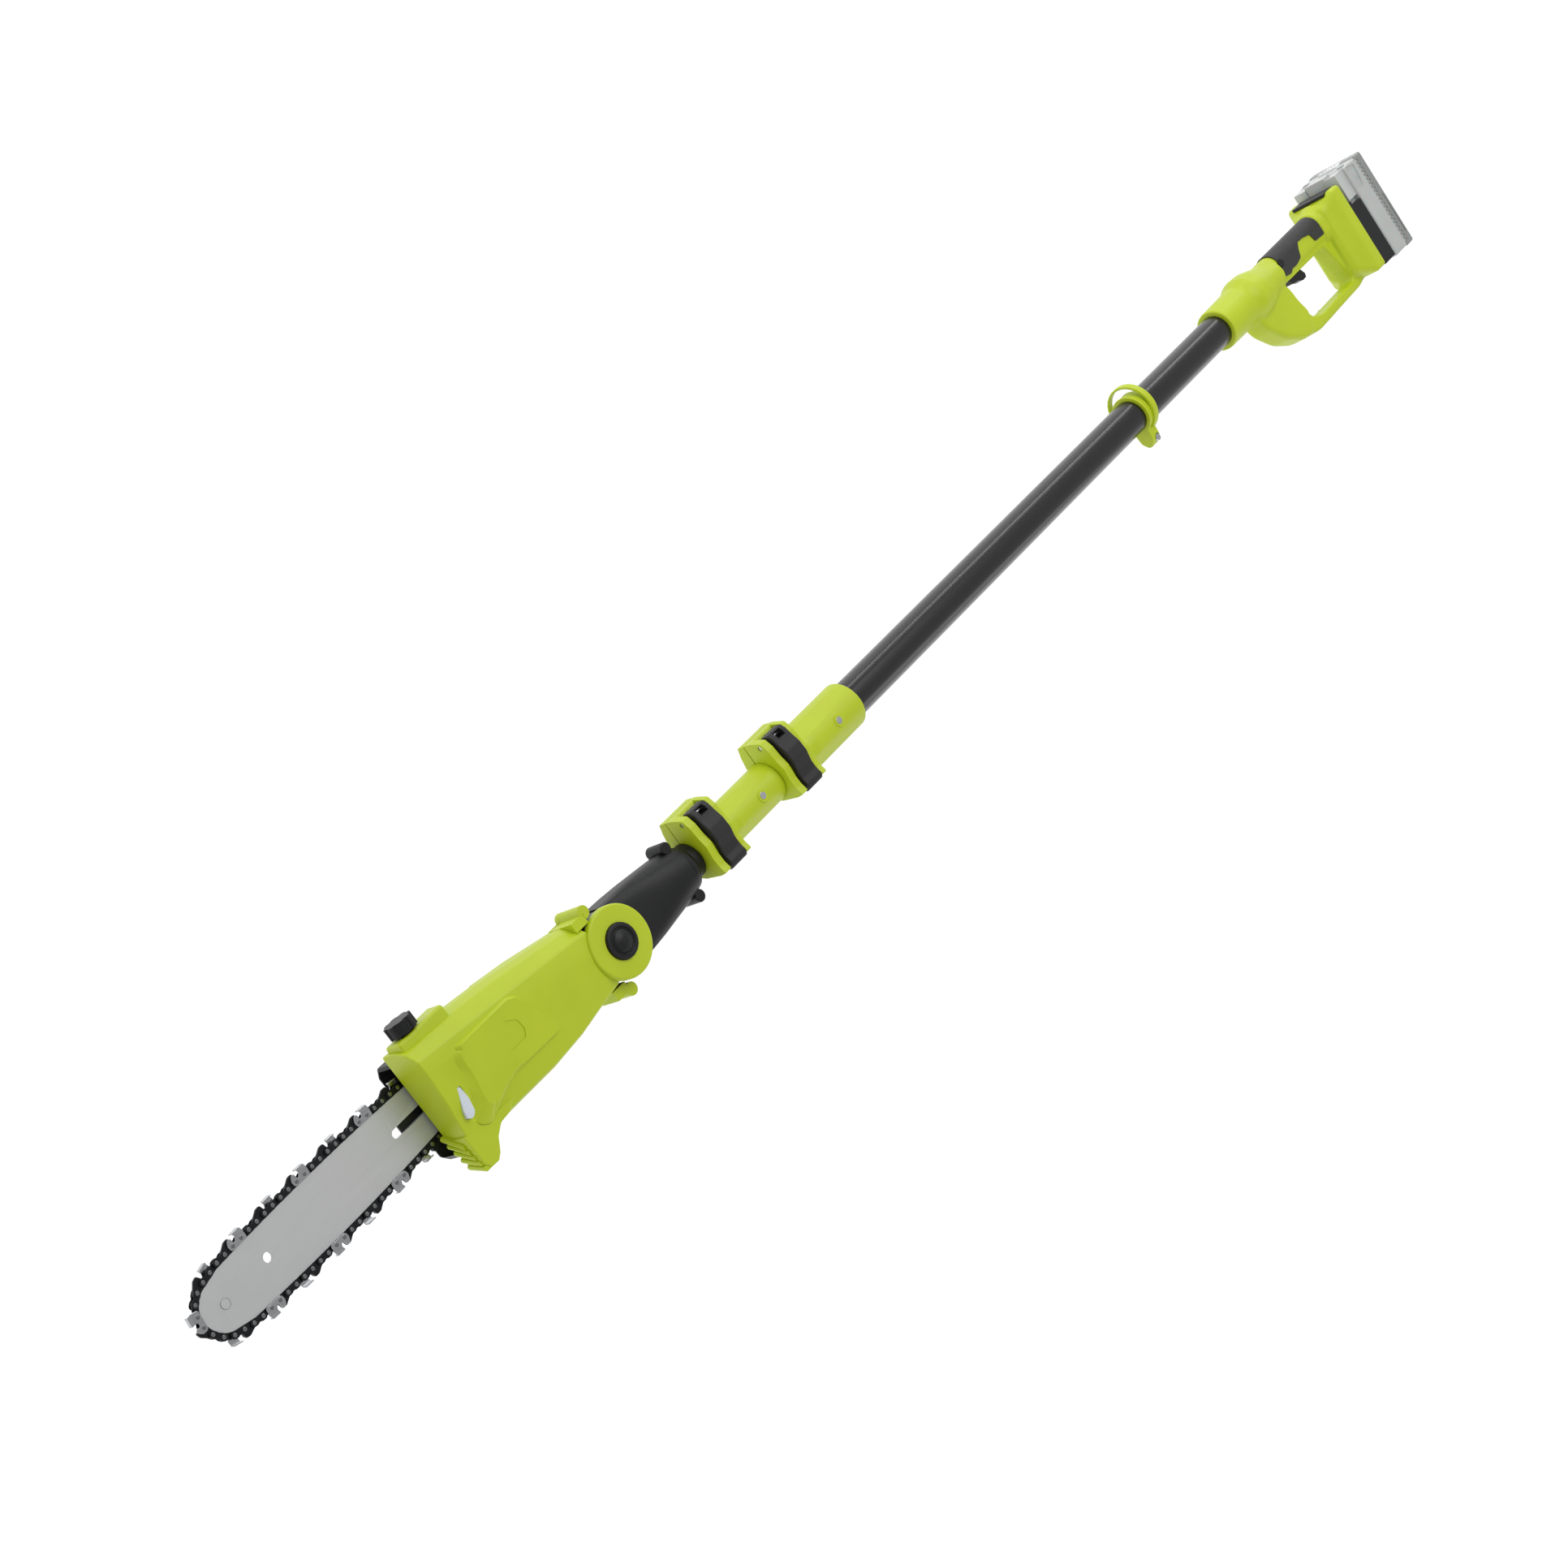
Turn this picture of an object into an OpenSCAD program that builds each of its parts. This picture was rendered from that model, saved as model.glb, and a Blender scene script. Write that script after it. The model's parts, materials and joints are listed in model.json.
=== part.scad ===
// Telescoping pole saw, lying on its right side.
// +X runs forward along the pole to the saw bar, +Y to the trigger side, +Z to the tool's left side.
// The origin is on the pole's axis, half way along the bare stretch of the outer tube.

/* [Pole] */
// Outside diameter of the outer tube
pole_d = 41; // [40:0.5:42]
// Wall of each tube
tube_wall = 1.4; // [1:0.1:1.6]
// Step in radius from one tube to the next
tube_step = 2.1; // [2:0.1:2.4]
// Where the outer tube leaves the handle
handle_mouth_x = -517; // [-520:1:-510]
// Where the rear sleeve starts
rear_sleeve_x = 313; // [305:1:320]
// Where the front sleeve starts
front_sleeve_x = 451; // [451:1:455]
// Place of the strap ring
strap_ring_x = -310; // [-400:5:200]

/* [Clamps] */
// Length of a clamp along the pole
clamp_len = 43; // [40:1:46]
// Width of a clamp lever
lever_w = 23; // [18:1:25]

/* [Head] */
// Place of the tilt pivot along the pole
pivot_x = 721; // [715:1:725]
// Radius of the round pivot cheeks
cheek_r = 35.5; // [34:0.5:38]
// Front face of the saw housing
face_x = 969; // [960:1:975]
// Wall of the moulded housings
shell_wall = 2.5; // [2:0.1:3]

/* [Bar and chain] */
// Height of the bar's centre line above the pole's axis
bar_rise = 10.5; // [9:0.5:12]
// Depth of the bar's middle plane below the pole's axis
bar_depth = 12; // [11:0.5:13]
// Thickness of the bar
bar_t = 4; // [3:0.2:4.4]
// Place of the nose sprocket
nose_x = 1210; // [1180:1:1215]
// Rivet to rivet pitch of the chain
chain_pitch = 9.525; // [9:0.005:9.6]

/* [Battery] */
// Length of the battery across the handle
battery_len = 136; // [130:1:140]
// Width of the battery from side to side
battery_w = 77; // [74:1:78]
// Thickness of the battery's body
battery_t = 49; // [46:1:50]

/* [Hidden] */
$fn = 48;
eps = 0.05;
outer_r = pole_d / 2;
middle_r = outer_r - tube_step;
inner_r = middle_r - tube_step;
handle_tube_x = handle_mouth_x - 58;
rear_clamp_x = rear_sleeve_x + 95;
front_clamp_x = front_sleeve_x + 88;
neck_x = front_clamp_x + clamp_len + 1;
bar_y = -bar_rise;
bar_z = -bar_depth;
shaft_x = 890;
gear_module = 1;
gear_teeth = 62;
pinion_teeth = 18;
gear_pitch_r = gear_teeth * gear_module / 2;
pinion_pitch_r = pinion_teeth * gear_module / 2;
motor_x = shaft_x - gear_pitch_r - pinion_pitch_r;
lever_pin_y = -34;
lever_pin_z = 19;
rear_x = -836;
rail_x = -865;
battery_x = rail_x - battery_t;
battery_y = -46;
trigger_pin_x = -681;
trigger_pin_y = 6;
lock_x = -674;

// ---------------------------------------------------------------- shared shapes

module rod_x(x0, x1, r, y = 0, z = 0)
    translate([x0, y, z]) rotate([0, 90, 0]) cylinder(h = x1 - x0, r = r);

module rod_y(y0, y1, r, x, z)
    translate([x, y0, z]) rotate([-90, 0, 0]) cylinder(h = y1 - y0, r = r);

module rod_z(z0, z1, r, x, y)
    translate([x, y, z0]) cylinder(h = z1 - z0, r = r);

module box(low, high)
    translate(low) cube(high - low);

module tube_x(x0, x1, r, bore)
    difference() {
        rod_x(x0, x1, r);
        rod_x(x0 - 1, x1 + 1, bore);
    }

// A drawing in Y and Z, pulled out along X from x0 to x1
module across_x(x0, x1)
    translate([x0, 0, 0]) rotate([90, 0, 90]) linear_extrude(x1 - x0) children();

// A drawing in X and Y, pulled out along Z from z0 to z1
module across_z(z0, z1)
    translate([0, 0, z0]) linear_extrude(z1 - z0) children();

// A profile of [x, r] points turned round the pole's axis
module turned_x(profile)
    rotate([0, 90, 0]) rotate_extrude()
        polygon([for (p = profile) [p[1], p[0]]]);

// A thin slab with a Y and Z outline, a section of a lofted body
module section(x, outline)
    across_x(x, x + 0.1) polygon(outline);

module gear_2d(teeth, pitch_r, phase) {
    half = 360 / teeth;
    rotate(phase) polygon([
        for (i = [0 : teeth - 1]) for (k = [[-0.30, -1.1], [-0.12, 0.75], [0.12, 0.75], [0.30, -1.1]])
            (pitch_r + k[1] * gear_module) * [cos((i + k[0]) * half), sin((i + k[0]) * half)]
    ]);
}

// A pan head screw pointing away from +Z (side = 1) or -Z (side = -1)
module screw_z(x, y, z_head, length, side) {
    top = side > 0 ? [z_head - length, z_head] : [z_head, z_head + length];
    cap = side > 0 ? [z_head, z_head + 1.6] : [z_head - 1.6, z_head];
    rod_z(top[0], top[1], 1.9, x, y);
    rod_z(cap[0], cap[1], 3.4, x, y);
}

// ---------------------------------------------------------------- pole

module outer_tube()
    color("#1b1b1d") tube_x(handle_tube_x, rear_sleeve_x + 75, outer_r, outer_r - tube_wall);

module middle_tube()
    color("#2a2a2c") tube_x(rear_sleeve_x - 600, front_sleeve_x + 70, middle_r, middle_r - tube_wall);

module inner_tube()
    color("#2a2a2c") tube_x(rear_sleeve_x - 560, neck_x + 60, inner_r, inner_r - tube_wall);

module middle_bush()
    color("#303032") {
        end_x = rear_sleeve_x - 600;
        difference() {
            union() {
                rod_x(end_x - 8, end_x - eps, middle_r + 0.35);
                rod_x(end_x - eps, end_x + 24, middle_r - tube_wall - eps);
            }
            rod_x(end_x - 9, end_x + 25, inner_r - 0.9);
        }
    }

module inner_bush()
    color("#303032") {
        end_x = rear_sleeve_x - 560;
        difference() {
            union() {
                rod_x(end_x - 8, end_x - eps, inner_r + 0.3);
                rod_x(end_x - eps, end_x + 24, inner_r - tube_wall - eps);
            }
            rod_x(end_x - 9, end_x + 25, inner_r - 4.5);
        }
    }

module sleeve(x, r, bore, bore_len, length, through)
    color("#b4c82d") difference() {
        turned_x([[x, 0], [x, r - 1], [x + 1.5, r], [x + length - 15, r], [x + length, r - 3],
                  [x + length, 0]]);
        rod_x(x - 1, x + bore_len, bore);
        rod_x(x, x + length + 1, through);
    }

module rear_sleeve()
    sleeve(rear_sleeve_x, outer_r + 5.5, outer_r + eps, 76, 95, middle_r + 0.4);

module front_sleeve()
    sleeve(front_sleeve_x + 0.3, middle_r + 3.6, middle_r + eps, 71, 87.7, inner_r + 0.4);

module sleeve_rivets(x, r_out, r_in)
    color("#c8cbcc") for (side = [0, 180]) rotate([side, 0, 0]) {
        rod_z(r_in, r_out, 2.4, x, 0);
        rod_z(r_out, r_out + 1.2, 3.8, x, 0);
    }

module rear_sleeve_rivets()
    sleeve_rivets(rear_sleeve_x + 40, outer_r + 5.5, outer_r - tube_wall + 0.1);

module front_sleeve_rivets()
    sleeve_rivets(front_sleeve_x + 33, middle_r + 3.6, middle_r - tube_wall + 0.1);

// Y and Z outline of a clamp's fins: hinge block, shoulder over the lever's bed, lower foot
clamp_fin = [[-43, -9], [-42, 10], [-37, 24], [-28, 27], [-8, 30.5], [8, 29], [25, 31.5], [26.5, 20],
             [24.5, 0], [17, -17], [0, -24], [-17, -17], [-33, -13]];
clamp_bed = [[-43, -9], [-42, 8], [-27, 12], [-14, 20.5], [0, 25], [14, 21], [25, 16], [24.5, 0],
             [17, -17], [0, -24], [-17, -17], [-33, -13]];

module clamp_body(x, tube_r)
    color("#b4c82d") difference() {
        union() {
            across_x(x, x + clamp_len) polygon(clamp_bed);
            across_x(x, x + 7) polygon(clamp_fin);
            across_x(x + clamp_len - 10, x + clamp_len) polygon(clamp_fin);
        }
        rod_x(x - 1, x + clamp_len + 1, tube_r + 0.4);
        box([x - 1, -44, -1], [x + clamp_len + 1, -tube_r + 2, 1]);
        rod_x(x - 1, x + clamp_len + 1, 2.5 + eps, lever_pin_y, lever_pin_z);
        rod_z(-20, 20, 2.5 + eps, x + clamp_len / 2 - 1.5, -36);
    }

module clamp_hardware(x)
    color("#c0c3c6") {
        rod_x(x + 1, x + clamp_len - 1, 2.5, lever_pin_y, lever_pin_z);
        mid = x + clamp_len / 2 - 1.5;
        rod_z(-13.6, 8, 2.5, mid, -36);
        rod_z(-17, -13.6, 4, mid, -36);
    }

// Y and Z outline of a clamp lever: an S bend over the tube, with the hub at the hinge end
lever_outline = [[-40, 14], [-38.5, 22], [-34.5, 27], [-29, 30.5], [-18, 34.5], [-6, 35.5], [5, 33.5], [13, 32],
                 [20, 34], [25.5, 32.5], [28.5, 26], [26.5, 19.5], [22, 19.5], [17, 23.3], [8, 27],
                 [0, 28.5], [-10, 27], [-20, 22], [-27, 16], [-33, 13]];

module clamp_lever(x)
    color("#39373a") difference() {
        across_x(x + 8.3, x + 8.3 + lever_w) polygon(lever_outline);
        rod_x(x, x + clamp_len, 2.5 + eps, lever_pin_y, lever_pin_z);
        box([x + 14, -45, 21.9], [x + 26, -30.5, 40]);
    }

module rear_clamp_body() clamp_body(rear_clamp_x, middle_r);
module rear_clamp_hardware() clamp_hardware(rear_clamp_x);
module rear_clamp_lever() clamp_lever(rear_clamp_x);
module front_clamp_body() clamp_body(front_clamp_x, inner_r);
module front_clamp_hardware() clamp_hardware(front_clamp_x);
module front_clamp_lever() clamp_lever(front_clamp_x);

strap_w = 15;
strap_gap = 1.2;

module strap_ring()
    color("#b4c82d") difference() {
        across_x(strap_ring_x - strap_w / 2, strap_ring_x + strap_w / 2) difference() {
            union() {
                circle(r = outer_r + 4.5);
                translate([20, -9]) square([18, 18]);
                translate([38, 0]) circle(r = 9);
                translate([-4, -3]) circle(r = 31.5);
            }
            circle(r = outer_r + eps);
            translate([10, -strap_gap / 2]) square([50, strap_gap]);
            difference() {
                translate([-4.8, -3.6]) circle(r = 27.7);
                circle(r = outer_r + 4.5);
                translate([20, -9]) square([18, 18]);
            }
        }
        rod_z(-10, 10, 2.2, strap_ring_x, 37);
        rod_z(6, 10, 5, strap_ring_x, 37);
        rod_z(-10, -6, 5, strap_ring_x, 37);
    }

module strap_fastener()
    color("#c0c3c6") {
        rod_z(-10.2, 6, 2.15, strap_ring_x, 37);
        rod_z(6, 9.4, 4, strap_ring_x, 37);
        difference() {
            translate([strap_ring_x, 37, -9.4]) cylinder(h = 3.3, r = 4.4, $fn = 6);
            rod_z(-11, -5, 2.15 + eps, strap_ring_x, 37);
        }
    }

// ---------------------------------------------------------------- neck

neck_eye_half = 19.7;
neck_eye_r = 33.5;
neck_flat_x = pivot_x - 38;
neck_flat_y = 32;

module neck_solid() {
    hull() {
        rod_x(neck_x + 16, neck_x + 18, 25);
        box([neck_flat_x, -neck_flat_y, -neck_eye_half], [neck_flat_x + 1, neck_flat_y, neck_eye_half]);
    }
    hull() {
        box([neck_flat_x, -neck_flat_y, -neck_eye_half], [neck_flat_x + 1, neck_flat_y, neck_eye_half]);
        rod_z(-neck_eye_half, neck_eye_half, neck_flat_y, pivot_x, 0, $fn = 32);
    }
    rod_z(-neck_eye_half, neck_eye_half, neck_eye_r, pivot_x, 0);
    turned_x([[neck_x, 0], [neck_x, 19], [neck_x + 10, 19.5], [neck_x + 17, 25], [neck_x + 18, 25],
              [neck_x + 18, 0]]);
    for (side = [-1, 1]) rod_z(-13, 13, 6.5, neck_x + 24, side * 28);
}

module neck_shell(side)
    color("#333436") difference() {
        intersection() {
            neck_solid();
            if (side > 0) box([neck_x - 1, -50, eps], [pivot_x + 50, 50, 50]);
            else box([neck_x - 1, -50, -50], [pivot_x + 50, 50, -eps]);
        }
        rod_x(neck_x - 1, neck_x + 62, inner_r + eps);
        hull() {
            rod_x(neck_x + 62, neck_x + 63, inner_r - 1);
            box([pivot_x - 22, -24, -15], [pivot_x - 16, 24, 15]);
        }
        rod_z(-30, 30, 6 + eps, pivot_x, 0);
        if (side > 0) rod_z(neck_eye_half - 4, 30, 24, pivot_x, 0);
        for (s = [-1, 1]) rod_z(-20, 11, 1.9 + eps, neck_x + 24, s * 28);
    }

module neck_shell_left() neck_shell(1);
module neck_shell_right() neck_shell(-1);

module neck_screws()
    color("#8f9294") for (s = [-1, 1]) screw_z(neck_x + 24, s * 28, -13, 23, -1);

// Toothed ring on the neck's left face that the head's cheek locks on
module pivot_detent()
    color("#a9acae") across_z(neck_eye_half - 4 + eps, neck_eye_half - eps)
        translate([pivot_x, 0]) difference() {
            circle(r = 24 - eps);
            circle(r = 6.2);
            for (a = [0 : 15 : 345]) rotate(a) translate([20, 0]) circle(r = 1.6, $fn = 16);
        }

// ---------------------------------------------------------------- saw head

split_z = -6;
cheek_in = 20.2;
cheek_out = 30;

left_outlines = [
    [pivot_x + 22, [[-40, split_z], [-40, 12], [-29, 25], [31, 23], [35, 16], [35, split_z]]],
    [850, [[-59, split_z], [-59, 10], [-44, 33], [38, 25], [43, 14], [43, split_z]]],
    [face_x, [[-67, split_z], [-68, 14], [-55, 38], [-40, 41], [-10, 36], [38, 25], [40, 18],
              [40, split_z]]]
];
right_outlines = [
    [pivot_x + 22, [[-40, split_z - eps], [-40, -14], [-30, -25], [31, -25], [35, -16],
                    [35, split_z - eps]]],
    [850, [[-59, split_z - eps], [-59, -18], [-50, -29], [36, -29], [43, -18], [43, split_z - eps]]]
];

function shrunk(outline, wall, open_z) = [
    for (p = outline) [p[0] - sign(p[0]) * wall, abs(p[1] - open_z) < 0.2 ? p[1]
                       : p[1] - sign(p[1]) * wall]
];

module loft(outlines) for (i = [0 : len(outlines) - 2]) hull() {
    section(outlines[i][0], outlines[i][1]);
    section(outlines[i + 1][0] - 0.1, outlines[i + 1][1]);
}

module head_cavity(outlines, open_z) hull() {
    section(pivot_x + 40, shrunk(outlines[0][1], shell_wall, open_z));
    section(outlines[len(outlines) - 1][0] - shell_wall, shrunk(outlines[1][1], shell_wall, open_z));
}

// Flared lower lip with the row of moulded teeth at the front
module lower_lip() {
    across_z(2, 30) polygon([[915, 34], [930, 38], [938, 44], [947, 53], [953, 60], [962, 60],
                             [face_x, 55], [face_x, 24]]);
    for (i = [0 : 4]) across_z(4 + 2 * i, 16 + 2 * i)
        translate([face_x - 4, 25 + 7.5 * i])
            polygon([[-4, -3], [5 - 0.6 * i, -2.4], [7 - 0.8 * i, 1.5], [-4, 3.4]]);
}

// Screw ears beside the pivot, from z0 up to z_top on the -Y side and z_low on the +Y side
module ear(z0, z1, side) hull() {
    rod_z(z0, z1, 6.6, pivot_x + 11, side * 43, $fn = 32);
    rod_z(z0, z1, 5, pivot_x + 24, side * 37, $fn = 32);
}
module ears(z0, z_top, z_low) {
    ear(z0, z_top, -1);
    ear(z0, z_low, 1);
}

window_x = 946;
window_y = 2;

module window_2d(gap) translate([window_x, window_y]) polygon([
    [-5.5 - gap, -14 - gap], [-2 + gap, -15 - gap], [5 + gap, 10], [4 + gap, 15 + gap],
    [-1 - gap, 15 + gap], [-5.5 - gap, -9]]);

module head_shell_left()
    color("#b4c82d") difference() {
        union() {
            loft(left_outlines);
            rod_z(cheek_in, cheek_out, cheek_r, pivot_x, 0);
            ears(split_z, 25, 14);
            lower_lip();
            across_z(30, 37) translate([885, -12]) polygon([
                [-55, -20], [-38, -27], [30, -27], [42, -18], [46, 8], [30, 25], [-20, 27], [-50, 8]]);
            rod_y(-75, -60, 13, 943, 13);
        }
        rod_z(split_z - 1, cheek_in, neck_eye_r + 0.8, pivot_x, 0);
        rod_z(split_z - 1, 40, 6 + eps, pivot_x, 0);
        rod_z(cheek_out - 7, 40, 17.8, pivot_x, 0);
        hull() {
            section(768, [[-38, split_z - 1], [-38, 10], [-28, 20], [30, 19], [32, 14], [32, split_z - 1]]);
            section(850, [[-56, split_z - 1], [-56, 9], [-42, 30], [36, 22], [40, 13], [40, split_z - 1]]);
        }
        hull() {
            section(849, [[-56, -3], [-56, 9], [-42, 30], [36, 22], [40, 13], [40, -3]]);
            section(face_x - shell_wall, [[-64, -3], [-65, 12], [-53, 34], [-10, 32], [35, 22], [37, 16],
                                          [37, -3]]);
        }
        rod_z(split_z - 1, 0, 11.05, shaft_x, bar_y);
        across_z(15, 50) window_2d(0.1);
        rod_y(-80, -55, 9.05, 943, 13);
        for (side = [-1, 1]) rod_z(split_z - 1, 8, 1.9 + eps, pivot_x + 11, side * 43);
    }

module head_shell_right()
    color("#b4c82d") difference() {
        union() {
            loft(right_outlines);
            rod_z(-cheek_out, -cheek_in, cheek_r, pivot_x, 0);
            ears(-13, split_z - eps, split_z - eps);
        }
        rod_z(-cheek_in, 0, neck_eye_r + 0.8, pivot_x, 0);
        rod_z(-cheek_out - 1, 0, 6 + eps, pivot_x, 0);
        head_cavity(right_outlines, split_z - eps);
        for (side = [-1, 1]) rod_z(-21, 0, 1.9 + eps, pivot_x + 11, side * 43);
    }

module head_screws()
    color("#8f9294") for (side = [-1, 1]) screw_z(pivot_x + 11, side * 43, -13, 20, -1);

module pivot_bolt()
    color("#a9acae") {
        rod_z(-cheek_out - 4, -cheek_out, 9, pivot_x, 0);
        rod_z(-cheek_out, cheek_out - 7, 6, pivot_x, 0);
    }

module pivot_button()
    color("#262729") translate([pivot_x, 0, 0]) rotate_extrude()
        polygon([[0, 27.2], [17.4, 27.2], [17.4, 31], [16, 32.2], [12.5, 32.2], [9, 34.4], [4, 35.6],
                 [0, 35.9]]);

module pivot_spring()
    color("#a9acae") translate([pivot_x, 0, 0]) rotate_extrude()
        polygon([[9.5, 23.1], [11, 23.1], [11, 27.1], [9.5, 27.1]]);

module gearbox_plate()
    color("#b0b2b4") difference() {
        across_z(-2.9, 5) polygon([[833, -46], [926, -46], [926, 26], [833, 26]]);
        rod_z(-1.4, 3.5, gear_pitch_r + 1.6, shaft_x, bar_y);
        rod_z(-1.4, 3.5, pinion_pitch_r + 1.6, motor_x, bar_y);
        rod_z(-4, 6, 11.05, shaft_x, bar_y);
        rod_z(3, 6, 5, motor_x, bar_y);
    }

module motor_can()
    color("#5c5f63") difference() {
        rod_z(5 + eps, 22.6, 19, motor_x, bar_y);
        rod_z(4, 21.6, 17.5, motor_x, bar_y);
    }

module motor_pinion()
    color("#8c8f92") {
        across_z(-1.1, 3.2) translate([motor_x, bar_y])
            gear_2d(pinion_teeth, pinion_pitch_r, 0);
        rod_z(3.2, 7, 2.5, motor_x, bar_y);
        rod_z(7, 20, 15, motor_x, bar_y);
    }

module drive_gear()
    color("#8c8f92") across_z(-1.1, 3.2) translate([shaft_x, bar_y]) difference() {
        gear_2d(gear_teeth, gear_pitch_r, 180 + 180 / gear_teeth);
        circle(r = 5 + eps);
    }

module sprocket_shaft()
    color("#b7babc") rod_z(-22, 10, 5, shaft_x, bar_y);

module shaft_bearings()
    color("#9da0a3") for (z = [[-6, -1.6], [3.7, 9.5]]) difference() {
        rod_z(z[0], z[1], 11, shaft_x, bar_y);
        rod_z(z[0] - 1, z[1] + 1, 5 + eps, shaft_x, bar_y);
    }

sprocket_teeth = 7;
sprocket_r = 13.5;

module drive_sprocket()
    color("#6f7275") across_z(bar_z - 3, bar_z + 3) translate([shaft_x, bar_y]) difference() {
        circle(r = sprocket_r);
        circle(r = 5 + eps);
        for (i = [0 : sprocket_teeth - 1]) rotate(i * 360 / sprocket_teeth)
            translate([sprocket_r, 0]) circle(r = 2.4, $fn = 24);
    }

module oil_tank()
    color("#d8dad4") difference() {
        union() {
            box([928, -56, 0], [962, 28, 19]);
            rod_y(-70, -55, 9, 943, 13);
        }
        box([930, -54, 2], [960, 26, 17]);
        rod_y(-71, -50, 6, 943, 13);
    }

module oil_window()
    color("#dfe5ea") across_z(20, 33.5) window_2d(0);

module oil_pump()
    color("#4a4c4f") {
        box([930, 6, -2.6], [954, 24, -0.4]);
        rod_y(-24, 6, 1.1, 934, -1.5);
    }

module oil_cap()
    color("#232425") {
        rod_y(-75.3, -62, 5.6, 943, 13);
        translate([943, -75.2, 13]) rotate([90, 0, 0]) linear_extrude(12) difference() {
            circle(r = 14);
            for (a = [0 : 45 : 315]) rotate(a) translate([15.5, 0]) circle(r = 3.4, $fn = 24);
        }
    }

cover_low = -33;

// Black side cover over the sprocket and the bar's clamped end
module chain_cover()
    color("#1f2022") difference() {
        across_z(cover_low, split_z - 0.3) polygon([
            [852, -46], [864, -56], [face_x - 6, -58], [face_x - 2, -50], [face_x - 2, 38],
            [face_x - 10, 47], [930, 50], [864, 42], [852, 30]]);
        across_z(cover_low + shell_wall, split_z + 1) polygon([
            [855, -44], [866, -53], [face_x + 1, -53], [face_x + 1, 40], [920, 45], [866, 39], [855, 28]]);
        rod_z(cover_low - 1, 0, 4.3, 930, bar_y);
    }

module bar_fasteners()
    color("#b7babc") {
        rod_z(cover_low - 5, split_z + 2.9, 4, 930, bar_y);
        difference() {
            translate([930, bar_y, cover_low - 5.8]) cylinder(h = 5.7, r = 7.5, $fn = 6);
            rod_z(cover_low - 7, 0, 4 + eps, 930, bar_y);
        }
    }

module tension_screw()
    color("#b7babc") {
        rod_x(936, face_x - 1, 2, -3, -22);
        rod_x(face_x - 1, face_x + 1.5, 3.2, -3, -22);
        box([938, -6, -24.5], [945, 0, bar_z - bar_t / 2 - 0.4]);
    }

// Half height of the bar at x, a shallow belly that runs into the round nose
nose_r = 22;
function bar_half(x) = 28 - 2.4 * pow((x - 1090) / 110, 2);

bar_tail = 912;
bar_steps = 12;
bar_end = 1196;

module bar_2d(grow) {
    xs = [for (i = [0 : bar_steps]) bar_tail + i * (bar_end - bar_tail) / bar_steps];
    translate([nose_x, bar_y]) circle(r = nose_r + grow, $fn = 96);
    polygon(concat(
        [for (x = xs) [x, bar_y - bar_half(x) - grow]],
        [[nose_x + 4, bar_y - nose_r + 0.4 - grow], [nose_x + 4, bar_y + nose_r - 0.4 + grow]],
        [for (i = [bar_steps : -1 : 0]) [xs[i], bar_y + bar_half(xs[i]) + grow]]));
}

module guide_bar()
    color("#b9babb") difference() {
        across_z(bar_z - bar_t / 2, bar_z + bar_t / 2) difference() {
            bar_2d(0);
            translate([bar_tail - 1, bar_y - 4.2]) square([1001 - bar_tail - 3.2, 8.4]);
            translate([1001 - 4.2, bar_y]) circle(r = 4.2);
            translate([1156, bar_y - 2.5]) circle(r = 4.6);
        }
        rod_z(bar_z - 1.2, bar_z + 1.2, 15.5, nose_x, bar_y);
    }

module nose_sprocket()
    color("#8c8f92") across_z(bar_z - 0.8, bar_z + 0.8) translate([nose_x, bar_y])
        difference() {
            circle(r = 15);
            circle(r = 3);
            for (a = [0 : 36 : 324]) rotate(a) translate([15, 0]) circle(r = 2.2, $fn = 16);
        }

chain_gap = 0.5;
chain_h = 7.4;
cutter_step = 4 * chain_pitch;

// The chain's loop round bar and sprocket, with a cutter block every four rivets
module saw_chain()
    color("#3a3c3f") {
        across_z(bar_z - 3, bar_z + 3) difference() {
            union() {
                bar_2d(chain_gap + chain_h);
                hull() {
                    translate([shaft_x, bar_y]) circle(r = sprocket_r + 6);
                    translate([bar_tail - 0.1, bar_y - bar_half(bar_tail) - chain_gap - chain_h])
                        square([0.2, 2 * (bar_half(bar_tail) + chain_gap + chain_h)]);
                }
            }
            bar_2d(chain_gap);
            hull() {
                translate([shaft_x, bar_y]) circle(r = sprocket_r + 0.4);
                translate([bar_tail - 0.1, bar_y - bar_half(bar_tail) - chain_gap])
                    square([0.3, 2 * (bar_half(bar_tail) + chain_gap)]);
            }
        }
        for (i = [0 : 5]) for (side = [-1, 1]) {
            x = 995 + i * cutter_step;
            y = bar_y + side * (bar_half(x) + chain_gap + chain_h + 1);
            box([x - 6, y - 2, bar_z - 3.4], [x + 6, y + 2, bar_z + 3.4]);
        }
    }

// ---------------------------------------------------------------- handle

grip_y0 = -8;
grip_y1 = 1.5;
grip_front = -655;
grip_rear = -790;
loop_half = 12;

loop_2d_points = [[-581, 20], [-590, 42], [-612, 68], [-640, 82], [-676, 89], [-700, 90], [-800, 88],
                  [rear_x, 86], [rear_x, 30], [-774, 12], [-655, 10], [-620, -5]];
hole_2d_points = [[-669, 20.5], [-664, 36], [-669, 58], [-685, 70], [-705, 75.5], [-799, 75.5], [-807, 68],
                  [-800, 40], [-786, 20.5]];

module grip_solid(r, x0, x1) {
    rod_x(x0, x1, r, grip_y0);
    rod_x(x0, x1, r, grip_y1);
    box([x0, grip_y0, -r], [x1, grip_y1, r]);
}

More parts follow.
